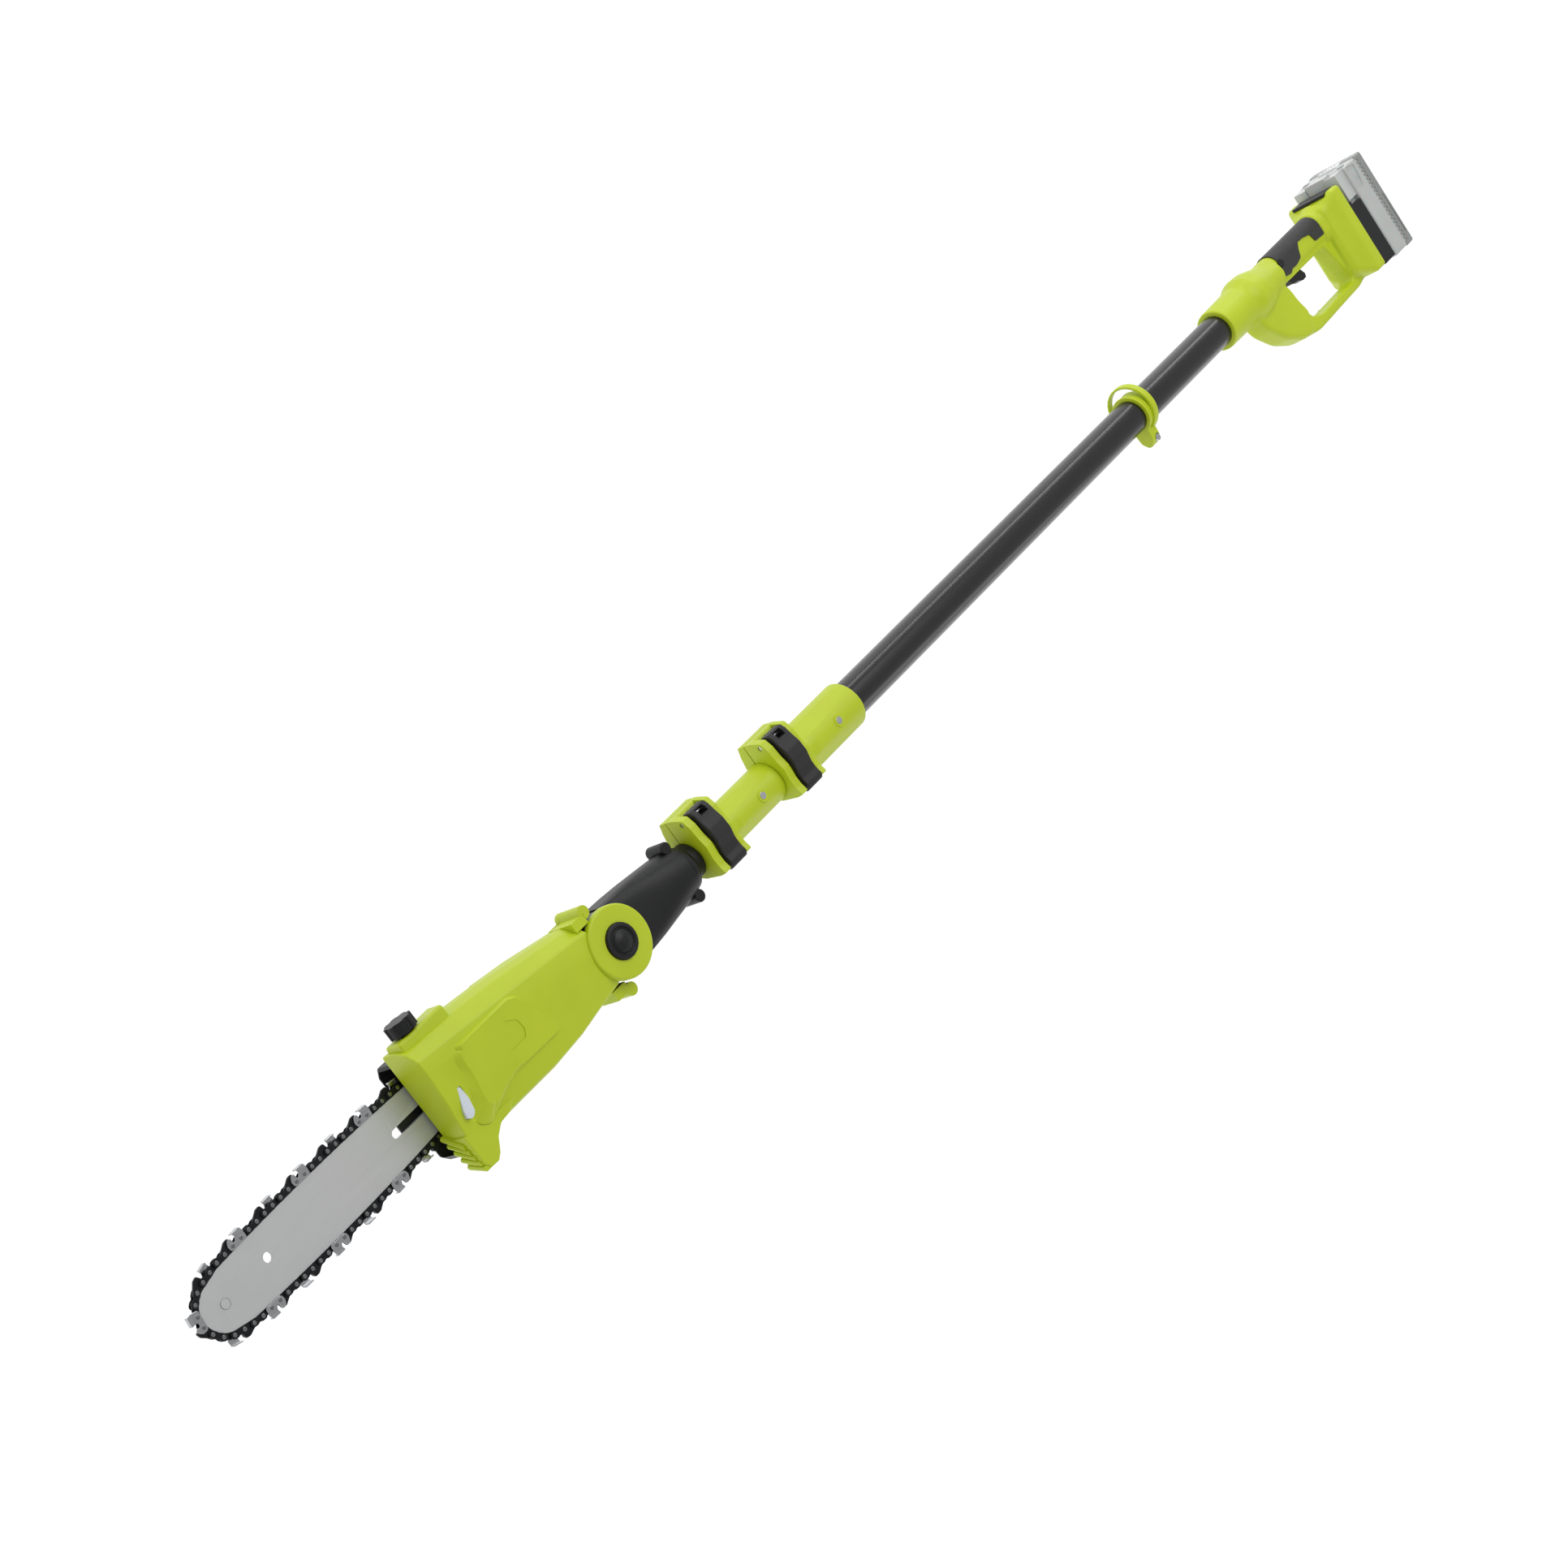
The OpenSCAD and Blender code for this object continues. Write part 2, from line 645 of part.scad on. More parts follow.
module handle_solid() {
    turned_x([[-668, 0], [-668, 20], [-640, 24], [-612, 31.5], [-594, 32], [-578, 27.5],
              [handle_mouth_x - 1, 26.5], [handle_mouth_x, 25.5], [handle_mouth_x, 0]]);
    grip_solid(16, grip_rear, grip_front);
    across_z(-loop_half, loop_half) difference() {
        polygon(loop_2d_points);
        polygon(hole_2d_points);
    }
    hull() {
        box([rear_x, -35, -37], [rear_x + 16, 86, 37]);
        box([rear_x + 30, -27, -26], [rear_x + 36, 76, 26]);
    }
}

module handle_cavity() {
    rod_x(handle_tube_x, handle_mouth_x + 1, outer_r + eps);
    rod_x(-660, handle_tube_x + 1, 18);
    grip_solid(13.2, grip_rear - 20, grip_front);
    box([rear_x - 1, -22, -34], [rear_x + 14, 72, 34]);
    box([-724, 0, -7.2], [-676, 24, 7.2]);
    rod_z(0, 40, 5.4, lock_x, grip_y0);
}

handle_screw_places = [[-618, 56], [-648, 71], [-730, 82]];

module handle_shell(side)
    color("#b4c82d") difference() {
        intersection() {
            handle_solid();
            if (side > 0) box([-900, -60, eps], [-500, 120, 60]);
            else box([-900, -60, -60], [-500, 120, -eps]);
        }
        handle_cavity();
        box([rear_x - 1, -36, -24.2], [rear_x + 26, -32, 27.2]);
        for (p = handle_screw_places) rod_z(-12.5, 8, 1.9 + eps, p[0], p[1]);
    }

module handle_shell_left() handle_shell(1);
module handle_shell_right() handle_shell(-1);

module grip_overmould()
    color("#2c2d2f") difference() {
        intersection() {
            grip_solid(17.4, -785, -671);
            union() {
                across_z(-30, 30) polygon([[-786, -40], [-786, 3], [-756, 7], [-750, -7], [-720, -11],
                                           [-708, 3], [-680, 8], [-670, 3], [-670, -40]]);
            }
        }
        grip_solid(16 + eps, -787, -669);
        rod_z(0, 40, 5.4, lock_x, grip_y0);
    }

module handle_screws()
    color("#8f9294") for (p = handle_screw_places) screw_z(p[0], p[1], -12.1, 19, -1);

module trigger()
    color("#242527") difference() {
        across_z(-6.5, 6.5) polygon([
            [-676, 1], [-676, 11], [-682, 17], [-689, 25], [-701, 27], [-711, 31], [-719, 30.5],
            [-721, 26], [-717, 19], [-712, 12], [-712, 4], [-700, 1]]);
        rod_z(-8, 8, 2 + eps, trigger_pin_x, trigger_pin_y);
    }

module trigger_pin()
    color("#a9acae") rod_z(-12.4, 12.4, 2, trigger_pin_x, trigger_pin_y);

module lock_off_button()
    color("#19191a") rod_z(11.5, 18.6, 5.1, lock_x, grip_y0);

module power_switch()
    color("#3a3b3d") box([-716, -16, -9], [-692, -3.5, 9]);

module rear_inset()
    color("#2c2d2f") box([rear_x, -35.6, -24], [rear_x + 25.5, -32.1, 27]);

module rail_block()
    color("#2b2c2e") difference() {
        union() {
            box([rear_x - 6, -6, -36], [rear_x - eps, 86, 36]);
            box([rail_x + 1, 0, -36], [rear_x - 5, 86, -29]);
            box([rail_x + 1, 0, 29], [rear_x - 5, 86, 36]);
            box([rail_x + 1, 78, -36], [rear_x - 5, 86, 36]);
        }
        box([rear_x - 6.5, 30, -20], [rear_x - 3, 60, 20]);
    }

module rail_terminals()
    color("#c9a24a") for (z = [-14, 0, 14])
        box([rear_x - 18, 32, z - 1], [rear_x - 3 - eps, 60, z + 1]);

module battery_case()
    color("#c7cacb") difference() {
        union() {
            hull() {
                box([battery_x + 8, battery_y, -battery_w / 2 + 3],
                    [rail_x, battery_y + battery_len, battery_w / 2 - 3]);
                box([battery_x + 3, battery_y + 6, -battery_w / 2],
                    [rail_x - 4, battery_y + battery_len - 6, battery_w / 2]);
                box([battery_x, battery_y + 9, -battery_w / 2 + 8],
                    [rail_x, battery_y + battery_len - 9, battery_w / 2 - 8]);
            }
            box([rail_x - 1, battery_y + 2, -34], [rear_x - 8, -6.4, 34]);
            box([rail_x - 1, -7, -28], [rear_x - 8, 74, 28]);
        }
        box([battery_x + 2.5, battery_y + 4, -battery_w / 2 + 2.5],
            [rail_x - 3, battery_y + battery_len - 4, battery_w / 2 - 2.5]);
        for (z = [-14, 0, 14]) box([rear_x - 20, 26, z - 2.4], [rear_x, 80, z + 2.4]);
        box([rail_x + 2, battery_y + 1, -16], [rear_x - 7, -12, 16]);
    }

cell_r = 9.1;

module battery_cells()
    color("#5f9fb0") for (i = [0 : 4]) for (j = [0, 1])
        rod_z(-33, 33, cell_r, battery_x + 12.5 + 20.5 * j, battery_y + 18 + 23.5 * i);

module battery_terminals()
    color("#c9a24a") for (z = [-14, 0, 14]) for (side = [-1, 1])
        box([rear_x - 20 + eps, 34, z + side * 1.9 - 0.3], [rear_x - 10, 58, z + side * 1.9 + 0.3]);

module battery_latch()
    color("#3a3b3d") box([rail_x + 2.4, battery_y - 1, -15.6], [rear_x - 10, battery_y + 20, 15.6]);

module battery_gauge()
    color("#e6e8e8") box([battery_x + 12, battery_y - 0.8, -15], [battery_x + 30, battery_y - eps, 15]);

// ---------------------------------------------------------------- the parts

outer_tube();
rear_sleeve();
rear_sleeve_rivets();
rear_clamp_body();
rear_clamp_hardware();
rear_clamp_lever();
strap_ring();
strap_fastener();
middle_tube();
middle_bush();
front_sleeve();
front_sleeve_rivets();
front_clamp_body();
front_clamp_hardware();
front_clamp_lever();
inner_tube();
inner_bush();
neck_shell_left();
neck_shell_right();
neck_screws();
pivot_detent();
head_shell_left();
head_shell_right();
head_screws();
pivot_bolt();
pivot_button();
pivot_spring();
gearbox_plate();
motor_can();
motor_pinion();
drive_gear();
sprocket_shaft();
shaft_bearings();
drive_sprocket();
oil_tank();
oil_cap();
oil_window();
oil_pump();
chain_cover();
bar_fasteners();
tension_screw();
guide_bar();
nose_sprocket();
saw_chain();
handle_shell_left();
handle_shell_right();
grip_overmould();
handle_screws();
trigger();
trigger_pin();
lock_off_button();
power_switch();
rear_inset();
rail_block();
rail_terminals();
battery_case();
battery_cells();
battery_terminals();
battery_latch();
battery_gauge();
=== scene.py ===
# %% [markdown]
# # A telescoping pole saw, part by part
# The CAD model comes first and never moves: it says where every part is and how large.
# On it this notebook models the moulded shells, the chain, the clamps and the handle in full
# detail, and gives every part that shows a finish made from nodes.

# %% Load the frame
import json
import math

import bmesh
import bpy
from mathutils import Matrix, Vector

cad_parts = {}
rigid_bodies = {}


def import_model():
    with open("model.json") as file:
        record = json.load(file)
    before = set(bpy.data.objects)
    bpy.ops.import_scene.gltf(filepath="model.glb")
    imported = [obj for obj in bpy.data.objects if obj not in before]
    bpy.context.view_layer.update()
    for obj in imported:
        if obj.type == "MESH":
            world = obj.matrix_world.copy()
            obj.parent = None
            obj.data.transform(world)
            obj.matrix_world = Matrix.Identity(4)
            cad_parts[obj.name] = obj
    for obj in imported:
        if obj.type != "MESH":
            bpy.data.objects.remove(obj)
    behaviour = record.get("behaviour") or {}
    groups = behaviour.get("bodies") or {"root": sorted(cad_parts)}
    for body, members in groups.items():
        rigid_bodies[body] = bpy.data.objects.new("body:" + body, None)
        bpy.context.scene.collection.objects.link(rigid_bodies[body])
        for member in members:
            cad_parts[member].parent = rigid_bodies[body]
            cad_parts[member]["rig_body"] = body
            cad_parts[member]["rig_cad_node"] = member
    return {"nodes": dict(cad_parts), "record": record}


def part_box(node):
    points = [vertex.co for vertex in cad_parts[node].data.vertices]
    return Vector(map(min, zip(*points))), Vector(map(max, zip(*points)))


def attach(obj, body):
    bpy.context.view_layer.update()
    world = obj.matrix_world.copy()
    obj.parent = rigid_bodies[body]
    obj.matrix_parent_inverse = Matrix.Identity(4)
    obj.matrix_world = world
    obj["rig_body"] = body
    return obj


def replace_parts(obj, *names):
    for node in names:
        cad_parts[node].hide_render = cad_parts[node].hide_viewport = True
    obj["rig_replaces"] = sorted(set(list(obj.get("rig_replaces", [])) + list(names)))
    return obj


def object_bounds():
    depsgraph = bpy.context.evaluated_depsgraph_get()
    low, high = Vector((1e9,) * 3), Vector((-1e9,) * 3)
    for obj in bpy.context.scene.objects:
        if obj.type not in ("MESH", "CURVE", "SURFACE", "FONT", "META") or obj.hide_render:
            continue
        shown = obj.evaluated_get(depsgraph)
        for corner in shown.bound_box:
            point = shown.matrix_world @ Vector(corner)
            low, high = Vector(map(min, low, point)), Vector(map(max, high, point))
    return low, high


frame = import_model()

cad_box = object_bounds()

# %% [markdown]
# Lengths are written in millimetres, as on a drawing, and turned into metres where an operator
# takes them. The frame gives the few driving places; other places are worked out from those or given
# as numbers.

# %% Driving places
MM = 0.001
X, Y, Z = 0, 1, 2


def low(node, axis):
    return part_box(node)[0][axis] / MM


def high(node, axis):
    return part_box(node)[1][axis] / MM


def middle(node, axis):
    return (low(node, axis) + high(node, axis)) / 2


POLE_R = high("outer_tube", Y)
MIDDLE_R = high("middle_tube", Y)
INNER_R = high("inner_tube", Y)
MOUTH_X = high("handle_shell_left", X)
PIVOT_X = middle("pivot_button", X)
SPLIT_Z = low("head_shell_left", Z)
SHAFT_X = middle("drive_sprocket", X)
BAR_Y = middle("drive_sprocket", Y)
BAR_Z = middle("guide_bar", Z)
NOSE_X = middle("nose_sprocket", X)
RAIL_X = low("rail_block", X) - 1
FLOOR_Z = cad_box[0].z / MM
print("pole radius", round(POLE_R, 2), "pivot", round(PIVOT_X, 1), "nose", round(NOSE_X, 1))

# %% [markdown]
# A material is a graph of nodes. `Wire` wraps one socket so that shader maths reads as plain
# maths: `1 - mask * 0.3` adds the Math nodes for it. `Graph.node` adds any other node.

# %% Shader maths


class Wire:
    """A value inside a material. Arithmetic on it adds Math nodes."""

    def __init__(self, graph, socket):
        self.graph = graph
        self.socket = socket

    def maths(self, operation, first, second):
        return self.graph.node("ShaderNodeMath", {"operation": operation}, {0: first, 1: second})

    def __add__(self, other):
        return self.maths("ADD", self, other)

    def __radd__(self, other):
        return self.maths("ADD", other, self)

    def __sub__(self, other):
        return self.maths("SUBTRACT", self, other)

    def __rsub__(self, other):
        return self.maths("SUBTRACT", other, self)

    def __mul__(self, other):
        return self.maths("MULTIPLY", self, other)

    def __rmul__(self, other):
        return self.maths("MULTIPLY", other, self)


class Graph:
    """One material and the nodes that are added to it."""

    def __init__(self, name):
        self.material = bpy.data.materials.new(name)
        self.material.use_nodes = True
        self.tree = self.material.node_tree
        self.shader = self.tree.nodes["Principled BSDF"]
        self.place = self.node("ShaderNodeTexCoord", {}, {}, "Object")

    def node(self, kind, settings, inputs, output=0):
        made = self.tree.nodes.new(kind)
        for key, value in settings.items():
            if key == "stops":
                self.set_stops(made.color_ramp, value)
            else:
                setattr(made, key, value)
        for key, value in inputs.items():
            self.feed(made.inputs[key], value)
        return Wire(self, made.outputs[output])

    def set_stops(self, ramp, stops):
        while len(ramp.elements) < len(stops):
            ramp.elements.new(0.5)
        for element, (position, shade) in zip(ramp.elements, stops):
            element.position = position
            element.color = (shade, shade, shade, 1)

    def feed(self, socket, value):
        if isinstance(value, Wire):
            self.tree.links.new(value.socket, socket)
        else:
            socket.default_value = value

    def noise(self, scale, detail=3.0, place=None):
        inputs = {"Vector": place or self.place, "Scale": scale, "Detail": detail}
        return self.node("ShaderNodeTexNoise", {}, inputs, "Fac")

    def stretched(self, x, y, z):
        """Object coordinates squeezed along an axis, for brushed and drawn metal."""
        return self.node("ShaderNodeMapping", {}, {"Vector": self.place, "Scale": (x, y, z)})

    def blend(self, first, second, share):
        settings = {"data_type": "RGBA", "clamp_factor": True}
        return self.node("ShaderNodeMix", settings, {0: share, 6: first, 7: second}, 2)

    def ramp(self, value, start, end):
        return self.node("ShaderNodeValToRGB", {"stops": [(start, 0), (end, 1)]}, {0: value})

    def edges(self):
        """1 on the outer edges of a shape, 0 on its flats: where a lighter colour is painted as a
        painted highlight.
        """
        pointed = self.node("ShaderNodeNewGeometry", {}, {}, "Pointiness")
        return self.ramp(pointed, 0.52, 0.60)

    def bump(self, height, distance):
        inputs = {"Height": height, "Distance": distance, "Strength": 1.0}
        self.feed(self.shader.inputs["Normal"], self.node("ShaderNodeBump", {}, inputs))

    def surface(self, **inputs):
        for key, value in inputs.items():
            self.feed(self.shader.inputs[key.replace("_", " ")], value)
        return self.material


def srgb(red, green, blue):
    """A screen colour, 0 to 255, as the linear colour that a shader takes."""
    shares = [v / 255 for v in (red, green, blue)]
    linear = [v / 12.92 if v <= 0.04045 else ((v + 0.055) / 1.055) ** 2.4 for v in shares]
    return (*linear, 1.0)


def shaded(colour, factor):
    return tuple(min(1.0, v * factor) for v in colour[:3]) + (1.0,)


print("shader helpers ready")

# %% [markdown]
# ## Plastics
# The housings are injection-moulded nylon: one strong colour all through and a fine spark-eroded
# grain from the mould. The grain is a fine noise in the bump, a slower noise moves the gloss about,
# and pointiness finds the edges, which are painted lighter as a painted highlight.

# %% Moulded plastic


def moulded(name, colour, roughness, grain=0.00005, edge_highlight=1.12, specular=0.5):
    graph = Graph(name)
    cloud = graph.noise(22)
    speck = graph.noise(1500, 2.0)
    tone = graph.blend(shaded(colour, 0.93), shaded(colour, 1.05), cloud)
    # Lighter colour on the edges that pointiness finds: a painted highlight.
    edge_lit = graph.blend(tone, shaded(colour, edge_highlight), graph.edges() * 0.5)
    graph.bump(speck, grain)
    graph.shader.inputs["Specular IOR Level"].default_value = specular
    return graph.surface(
        Base_Color=edge_lit,
        Roughness=roughness + (cloud - 0.5) * 0.12 + (speck - 0.5) * 0.1,
    )


LIME = srgb(190, 208, 28)
finishes = {
    "lime_plastic": moulded("lime_plastic", LIME, 0.42),
    "black_plastic": moulded("black_plastic", srgb(22, 23, 25), 0.42, edge_highlight=1.5, specular=0.35),
    "lever_plastic": moulded("lever_plastic", srgb(42, 40, 42), 0.5, edge_highlight=1.3, specular=0.35),
    "tank_plastic": moulded("tank_plastic", srgb(214, 216, 206), 0.5),
    "gauge_white": moulded("gauge_white", srgb(232, 234, 234), 0.4),
    "cell_sleeve": moulded("cell_sleeve", srgb(88, 150, 170), 0.35),
}
print("moulded finishes:", len(finishes))

# %% [markdown]
# The grip is a soft rubber overmould. Rubber is duller than nylon and its grain is coarser, so
# it takes a Voronoi leather grain and a little sheen.

# %% Grip rubber


def rubber(name, colour):
    graph = Graph(name)
    cloud = graph.noise(40)
    pebbles = graph.node(
        "ShaderNodeTexVoronoi", {}, {"Vector": graph.place, "Scale": 900}, "Distance"
    )
    graph.bump(pebbles + graph.noise(2500) * 0.3, 0.00018)
    graph.shader.inputs["Sheen Weight"].default_value = 0.12
    tone = graph.blend(shaded(colour, 0.85), shaded(colour, 1.15), cloud)
    # Lighter colour on the edges that pointiness finds: a painted highlight.
    edge_lit = graph.blend(tone, shaded(colour, 1.5), graph.edges() * 0.6)
    return graph.surface(Base_Color=edge_lit, Roughness=0.62 + (cloud - 0.5) * 0.15)


finishes["grip_rubber"] = rubber("grip_rubber", srgb(32, 32, 35))
print("grip rubber ready")

# %% [markdown]
# The tubes are aluminium under a gloss black powder coat. A powder coat levels out with a very
# fine orange peel, and a clear layer on top gives the long sharp streak that such tubes show.

# %% Powder coat


def powder_coat(name, colour, roughness):
    graph = Graph(name)
    peel = graph.noise(950, 1.5)
    dust = graph.noise(3200, 1.0)
    scuffs = graph.ramp(graph.noise(1, 6.0, graph.stretched(14, 420, 420)), 0.62, 0.78)
    graph.bump(peel + dust * 0.2, 0.000006)
    graph.shader.inputs["Coat Roughness"].default_value = 0.2
    tone = graph.blend(colour, shaded(colour, 1.5), scuffs)
    return graph.surface(
        Base_Color=tone,
        Roughness=roughness + scuffs * 0.15 + (peel - 0.5) * 0.1,
        Coat_Weight=0.25 - scuffs * 0.2,
    )


finishes["tube_black"] = powder_coat("tube_black", srgb(16, 16, 18), 0.26)
finishes["tube_inner"] = powder_coat("tube_inner", srgb(18, 18, 20), 0.34)
print("powder coats ready")

# %% [markdown]
# ## Metals
# Ground steel has fine scratches along the way it was ground, so its noise is stretched along
# the bar. Turned and plated parts have an even, softly clouded gloss.

# %% Metals


def metal(name, colour, roughness, streaks=(600, 600, 600), scratch=0.00003, metallic=1.0):
    graph = Graph(name)
    grain = graph.noise(1, 4.0, graph.stretched(*streaks))
    cloud = graph.noise(30)
    tone = graph.blend(shaded(colour, 0.86), shaded(colour, 1.08), grain)
    # Lighter colour on the edges that pointiness finds: a painted highlight.
    edge_lit = graph.blend(tone, shaded(colour, 1.25), graph.edges() * 0.5)
    graph.bump(grain, scratch)
    return graph.surface(
        Base_Color=edge_lit,
        Metallic=metallic,
        Roughness=roughness + (grain - 0.5) * 0.16 + (cloud - 0.5) * 0.1,
    )


finishes["bar_steel"] = metal("bar_steel", srgb(196, 197, 197), 0.5, (40, 2400, 900), metallic=0.35)
finishes["chain_steel"] = metal("chain_steel", srgb(44, 45, 47), 0.46)
finishes["cutter_chrome"] = metal("cutter_chrome", srgb(176, 178, 180), 0.2)
finishes["rivet_steel"] = metal("rivet_steel", srgb(128, 130, 132), 0.26)
finishes["plain_steel"] = metal("plain_steel", srgb(176, 178, 180), 0.3)
finishes["zinc_steel"] = metal("zinc_steel", srgb(200, 202, 204), 0.28)
finishes["cast_alloy"] = metal("cast_alloy", srgb(164, 166, 168), 0.5, scratch=0.0001)
finishes["spring_steel"] = metal("spring_steel", srgb(150, 152, 156), 0.25)
finishes["motor_steel"] = metal("motor_steel", srgb(120, 124, 128), 0.38)
finishes["contact_brass"] = metal("contact_brass", srgb(206, 168, 84), 0.28)
print("metals ready:", len(finishes), "finishes so far")

# %% [markdown]
# The oil window is clear polycarbonate with pale oil behind it, and the battery's case is a
# pale, milky polycarbonate. Both are mostly body colour with a sharp clear gloss on top.

# %% Milky plastics


def milky(name, colour, roughness, swirl):
    graph = Graph(name)
    cloud = graph.noise(swirl, 4.0)
    graph.bump(graph.noise(1200, 2.0), 0.00003)
    graph.shader.inputs["Subsurface Weight"].default_value = 0.25
    graph.shader.inputs["Subsurface Scale"].default_value = 0.003
    tone = graph.blend(shaded(colour, 0.9), shaded(colour, 1.06), cloud)
    # The base colour is lighter on the edges that pointiness finds: a painted highlight.
    return graph.surface(
        Base_Color=graph.blend(tone, shaded(colour, 1.2), graph.edges() * 0.6),
        Roughness=roughness + (cloud - 0.5) * 0.1,
        Coat_Weight=0.2 + cloud * 0.3,
    )


finishes["window_clear"] = milky("window_clear", srgb(222, 230, 238), 0.16, 60)
finishes["battery_clear"] = milky("battery_clear", srgb(186, 190, 188), 0.3, 25)
finishes["battery_band"] = milky("battery_band", srgb(142, 145, 143), 0.38, 40)
print("milky finishes ready")

# %% [markdown]
# ## Modelling helpers
# Each helper does one thing that a person does at the desk. `fresh` clears the selection, as
# operators act on everything that is selected. `draw_chain` draws an outline: one vertex, extruded
# from point to point and closed. `rounded` turns drawn corners into arcs beforehand.

# %% Selecting and tracing


def fresh():
    if bpy.context.object and bpy.context.object.mode != "OBJECT":
        bpy.ops.object.mode_set(mode="OBJECT")
    bpy.ops.object.select_all(action="DESELECT")


def take(obj):
    fresh()
    obj.select_set(True)
    bpy.context.view_layer.objects.active = obj


def edit(obj):
    take(obj)
    bpy.ops.object.mode_set(mode="EDIT")
    bpy.ops.mesh.select_mode(type="VERT")


def pick(obj, test):
    """In edit mode, selects the vertices whose place in millimetres passes the test."""
    bpy.ops.mesh.select_all(action="DESELECT")
    mesh = bmesh.from_edit_mesh(obj.data)
    for vertex in mesh.verts:
        vertex.select_set(bool(test(vertex.co / MM)))
    mesh.select_flush(True)
    bmesh.update_edit_mesh(obj.data)


def done():
    bpy.ops.object.mode_set(mode="OBJECT")


def rounded(corners, closed=True, step=15):
    """An outline from corners (a, b, radius), each corner with a radius turned into an arc."""
    outline = []
    for i, (a, b, radius) in enumerate(corners):
        here = Vector((a, b))
        at_end = not closed and i in (0, len(corners) - 1)
        back = Vector(corners[i - 1][:2]) - here
        ahead = Vector(corners[(i + 1) % len(corners)][:2]) - here
        turn = math.pi - back.angle(ahead)
        if radius == 0 or at_end or turn < 0.04:
            outline.append((a, b))
            continue
        reach = min(radius * math.tan(turn / 2), 0.48 * back.length, 0.48 * ahead.length)
        radius = reach / math.tan(turn / 2)
        start = here + back.normalized() * reach
        towards = (back.normalized() + ahead.normalized()).normalized()
        centre = here + towards * (radius / math.cos(turn / 2))
        arm = start - centre
        side = 1 if back.x * ahead.y - back.y * ahead.x < 0 else -1
        steps = max(2, round(math.degrees(turn) / step))
        for k in range(steps + 1):
            spun = Matrix.Rotation(side * turn * k / steps, 2) @ arm
            outline.append(tuple(centre + spun))
    return outline


def on_plane(outline, axis, at):
    """The outline's points in space: across X the two numbers are y and z, and so on."""
    if axis == X:
        return [(at, a, b) for a, b in outline]
    if axis == Y:
        return [(a, at, b) for a, b in outline]
    return [(a, b, at) for a, b in outline]


def draw_chain(points):
    """In edit mode with nothing selected, extrudes one new vertex from point to point."""
    bpy.ops.mesh.primitive_plane_add(size=MM, location=(0, 0, 0))
    bpy.ops.mesh.merge(type="CENTER")
    here = Vector(points[0]) * MM
    bpy.ops.transform.translate(value=here)
    for point in points[1:]:
        there = Vector(point) * MM
        bpy.ops.mesh.extrude_vertices_move(TRANSFORM_OT_translate={"value": there - here})
        here = there


def close_solid(obj):
    """In edit mode, turns every face outwards and leaves edit mode."""
    bpy.ops.mesh.select_all(action="SELECT")
    bpy.ops.mesh.normals_make_consistent(inside=False)
    done()
    return obj


def new_object(name):
    fresh()
    bpy.ops.mesh.primitive_plane_add(size=MM, location=(0, 0, 0))
    obj = bpy.context.object
    obj.name = name
    obj.data.name = name
    bpy.ops.object.mode_set(mode="EDIT")
    bpy.ops.mesh.select_mode(type="VERT")
    bpy.ops.mesh.delete(type="VERT")
    return obj


print("outline helpers ready")

# %% [markdown]
# Three ways to make a solid from outlines: `plate` pulls one outline straight, `loft` bridges
# several sections from ring to ring, and `turned` spins a half profile like a lathe.

# %% Plates, lofts and turned parts


def plate(name, outline, start, end, axis=Z):
    obj = new_object(name)
    draw_chain(on_plane(outline, axis, start))
    bpy.ops.mesh.select_all(action="SELECT")
    bpy.ops.mesh.edge_face_add()
    offset = [0, 0, 0]
    offset[axis] = (end - start) * MM
    bpy.ops.mesh.extrude_region_move(TRANSFORM_OT_translate={"value": offset})
    return close_solid(obj)


def loft(name, stations, axis=X):
    """stations: (place along the axis, outline), every outline with as many points."""
    obj = new_object(name)
    for at, outline in stations:
        bpy.ops.mesh.select_all(action="DESELECT")
        draw_chain(on_plane(outline, axis, at))
        pick(obj, lambda co, at=at: abs(co[axis] - at) < 0.01)
        bpy.ops.mesh.edge_face_add()
        bpy.ops.mesh.delete(type="ONLY_FACE")
    places = [at for at, outline in stations]
    for first, second in zip(places, places[1:]):
        pick(obj, lambda co: min(abs(co[axis] - first), abs(co[axis] - second)) < 0.01)
        bpy.ops.mesh.bridge_edge_loops()
    for at in (places[0], places[-1]):
        pick(obj, lambda co: abs(co[axis] - at) < 0.01)
        bpy.ops.mesh.edge_face_add()
    return close_solid(obj)


def turned(name, profile, centre=(0, 0, 0), axis=X, steps=72, closed=False):
    """profile: (along the axis, radius) points, spun once round the axis through centre."""
    obj = new_object(name)
    points = []
    for along, radius in profile:
        point = [0, 0, 0]
        point[axis] = along
        point[Z if axis != Z else X] = radius
        points.append(Vector(point) + Vector(centre))
    draw_chain(points)
    if closed:
        bpy.ops.mesh.select_all(action="SELECT")
        bpy.ops.mesh.edge_face_add()
        bpy.ops.mesh.delete(type="ONLY_FACE")
    bpy.ops.mesh.select_all(action="SELECT")
    direction = [0, 0, 0]
    direction[axis] = 1
    bpy.ops.mesh.spin(
        steps=steps, angle=math.tau, center=Vector(centre) * MM, axis=direction, use_auto_merge=True
    )
    bpy.ops.mesh.select_all(action="SELECT")
    bpy.ops.mesh.remove_doubles(threshold=0.01 * MM)
    return close_solid(obj)


def rod(name, start, end, radius, across, axis=Z, sides=48):
    """A round bar along one axis; across gives its other two coordinates."""
    middle_at = list(across)
    middle_at.insert(axis, (start + end) / 2)
    turns = {X: (0, math.pi / 2, 0), Y: (math.pi / 2, 0, 0), Z: (0, 0, 0)}
    fresh()
    bpy.ops.mesh.primitive_cylinder_add(
        vertices=sides, radius=radius * MM, depth=abs(end - start) * MM,
        location=Vector(middle_at) * MM, rotation=turns[axis],
    )
    obj = bpy.context.object
    obj.name = name
    bpy.ops.object.transform_apply(location=True, rotation=True, scale=True)
    return obj


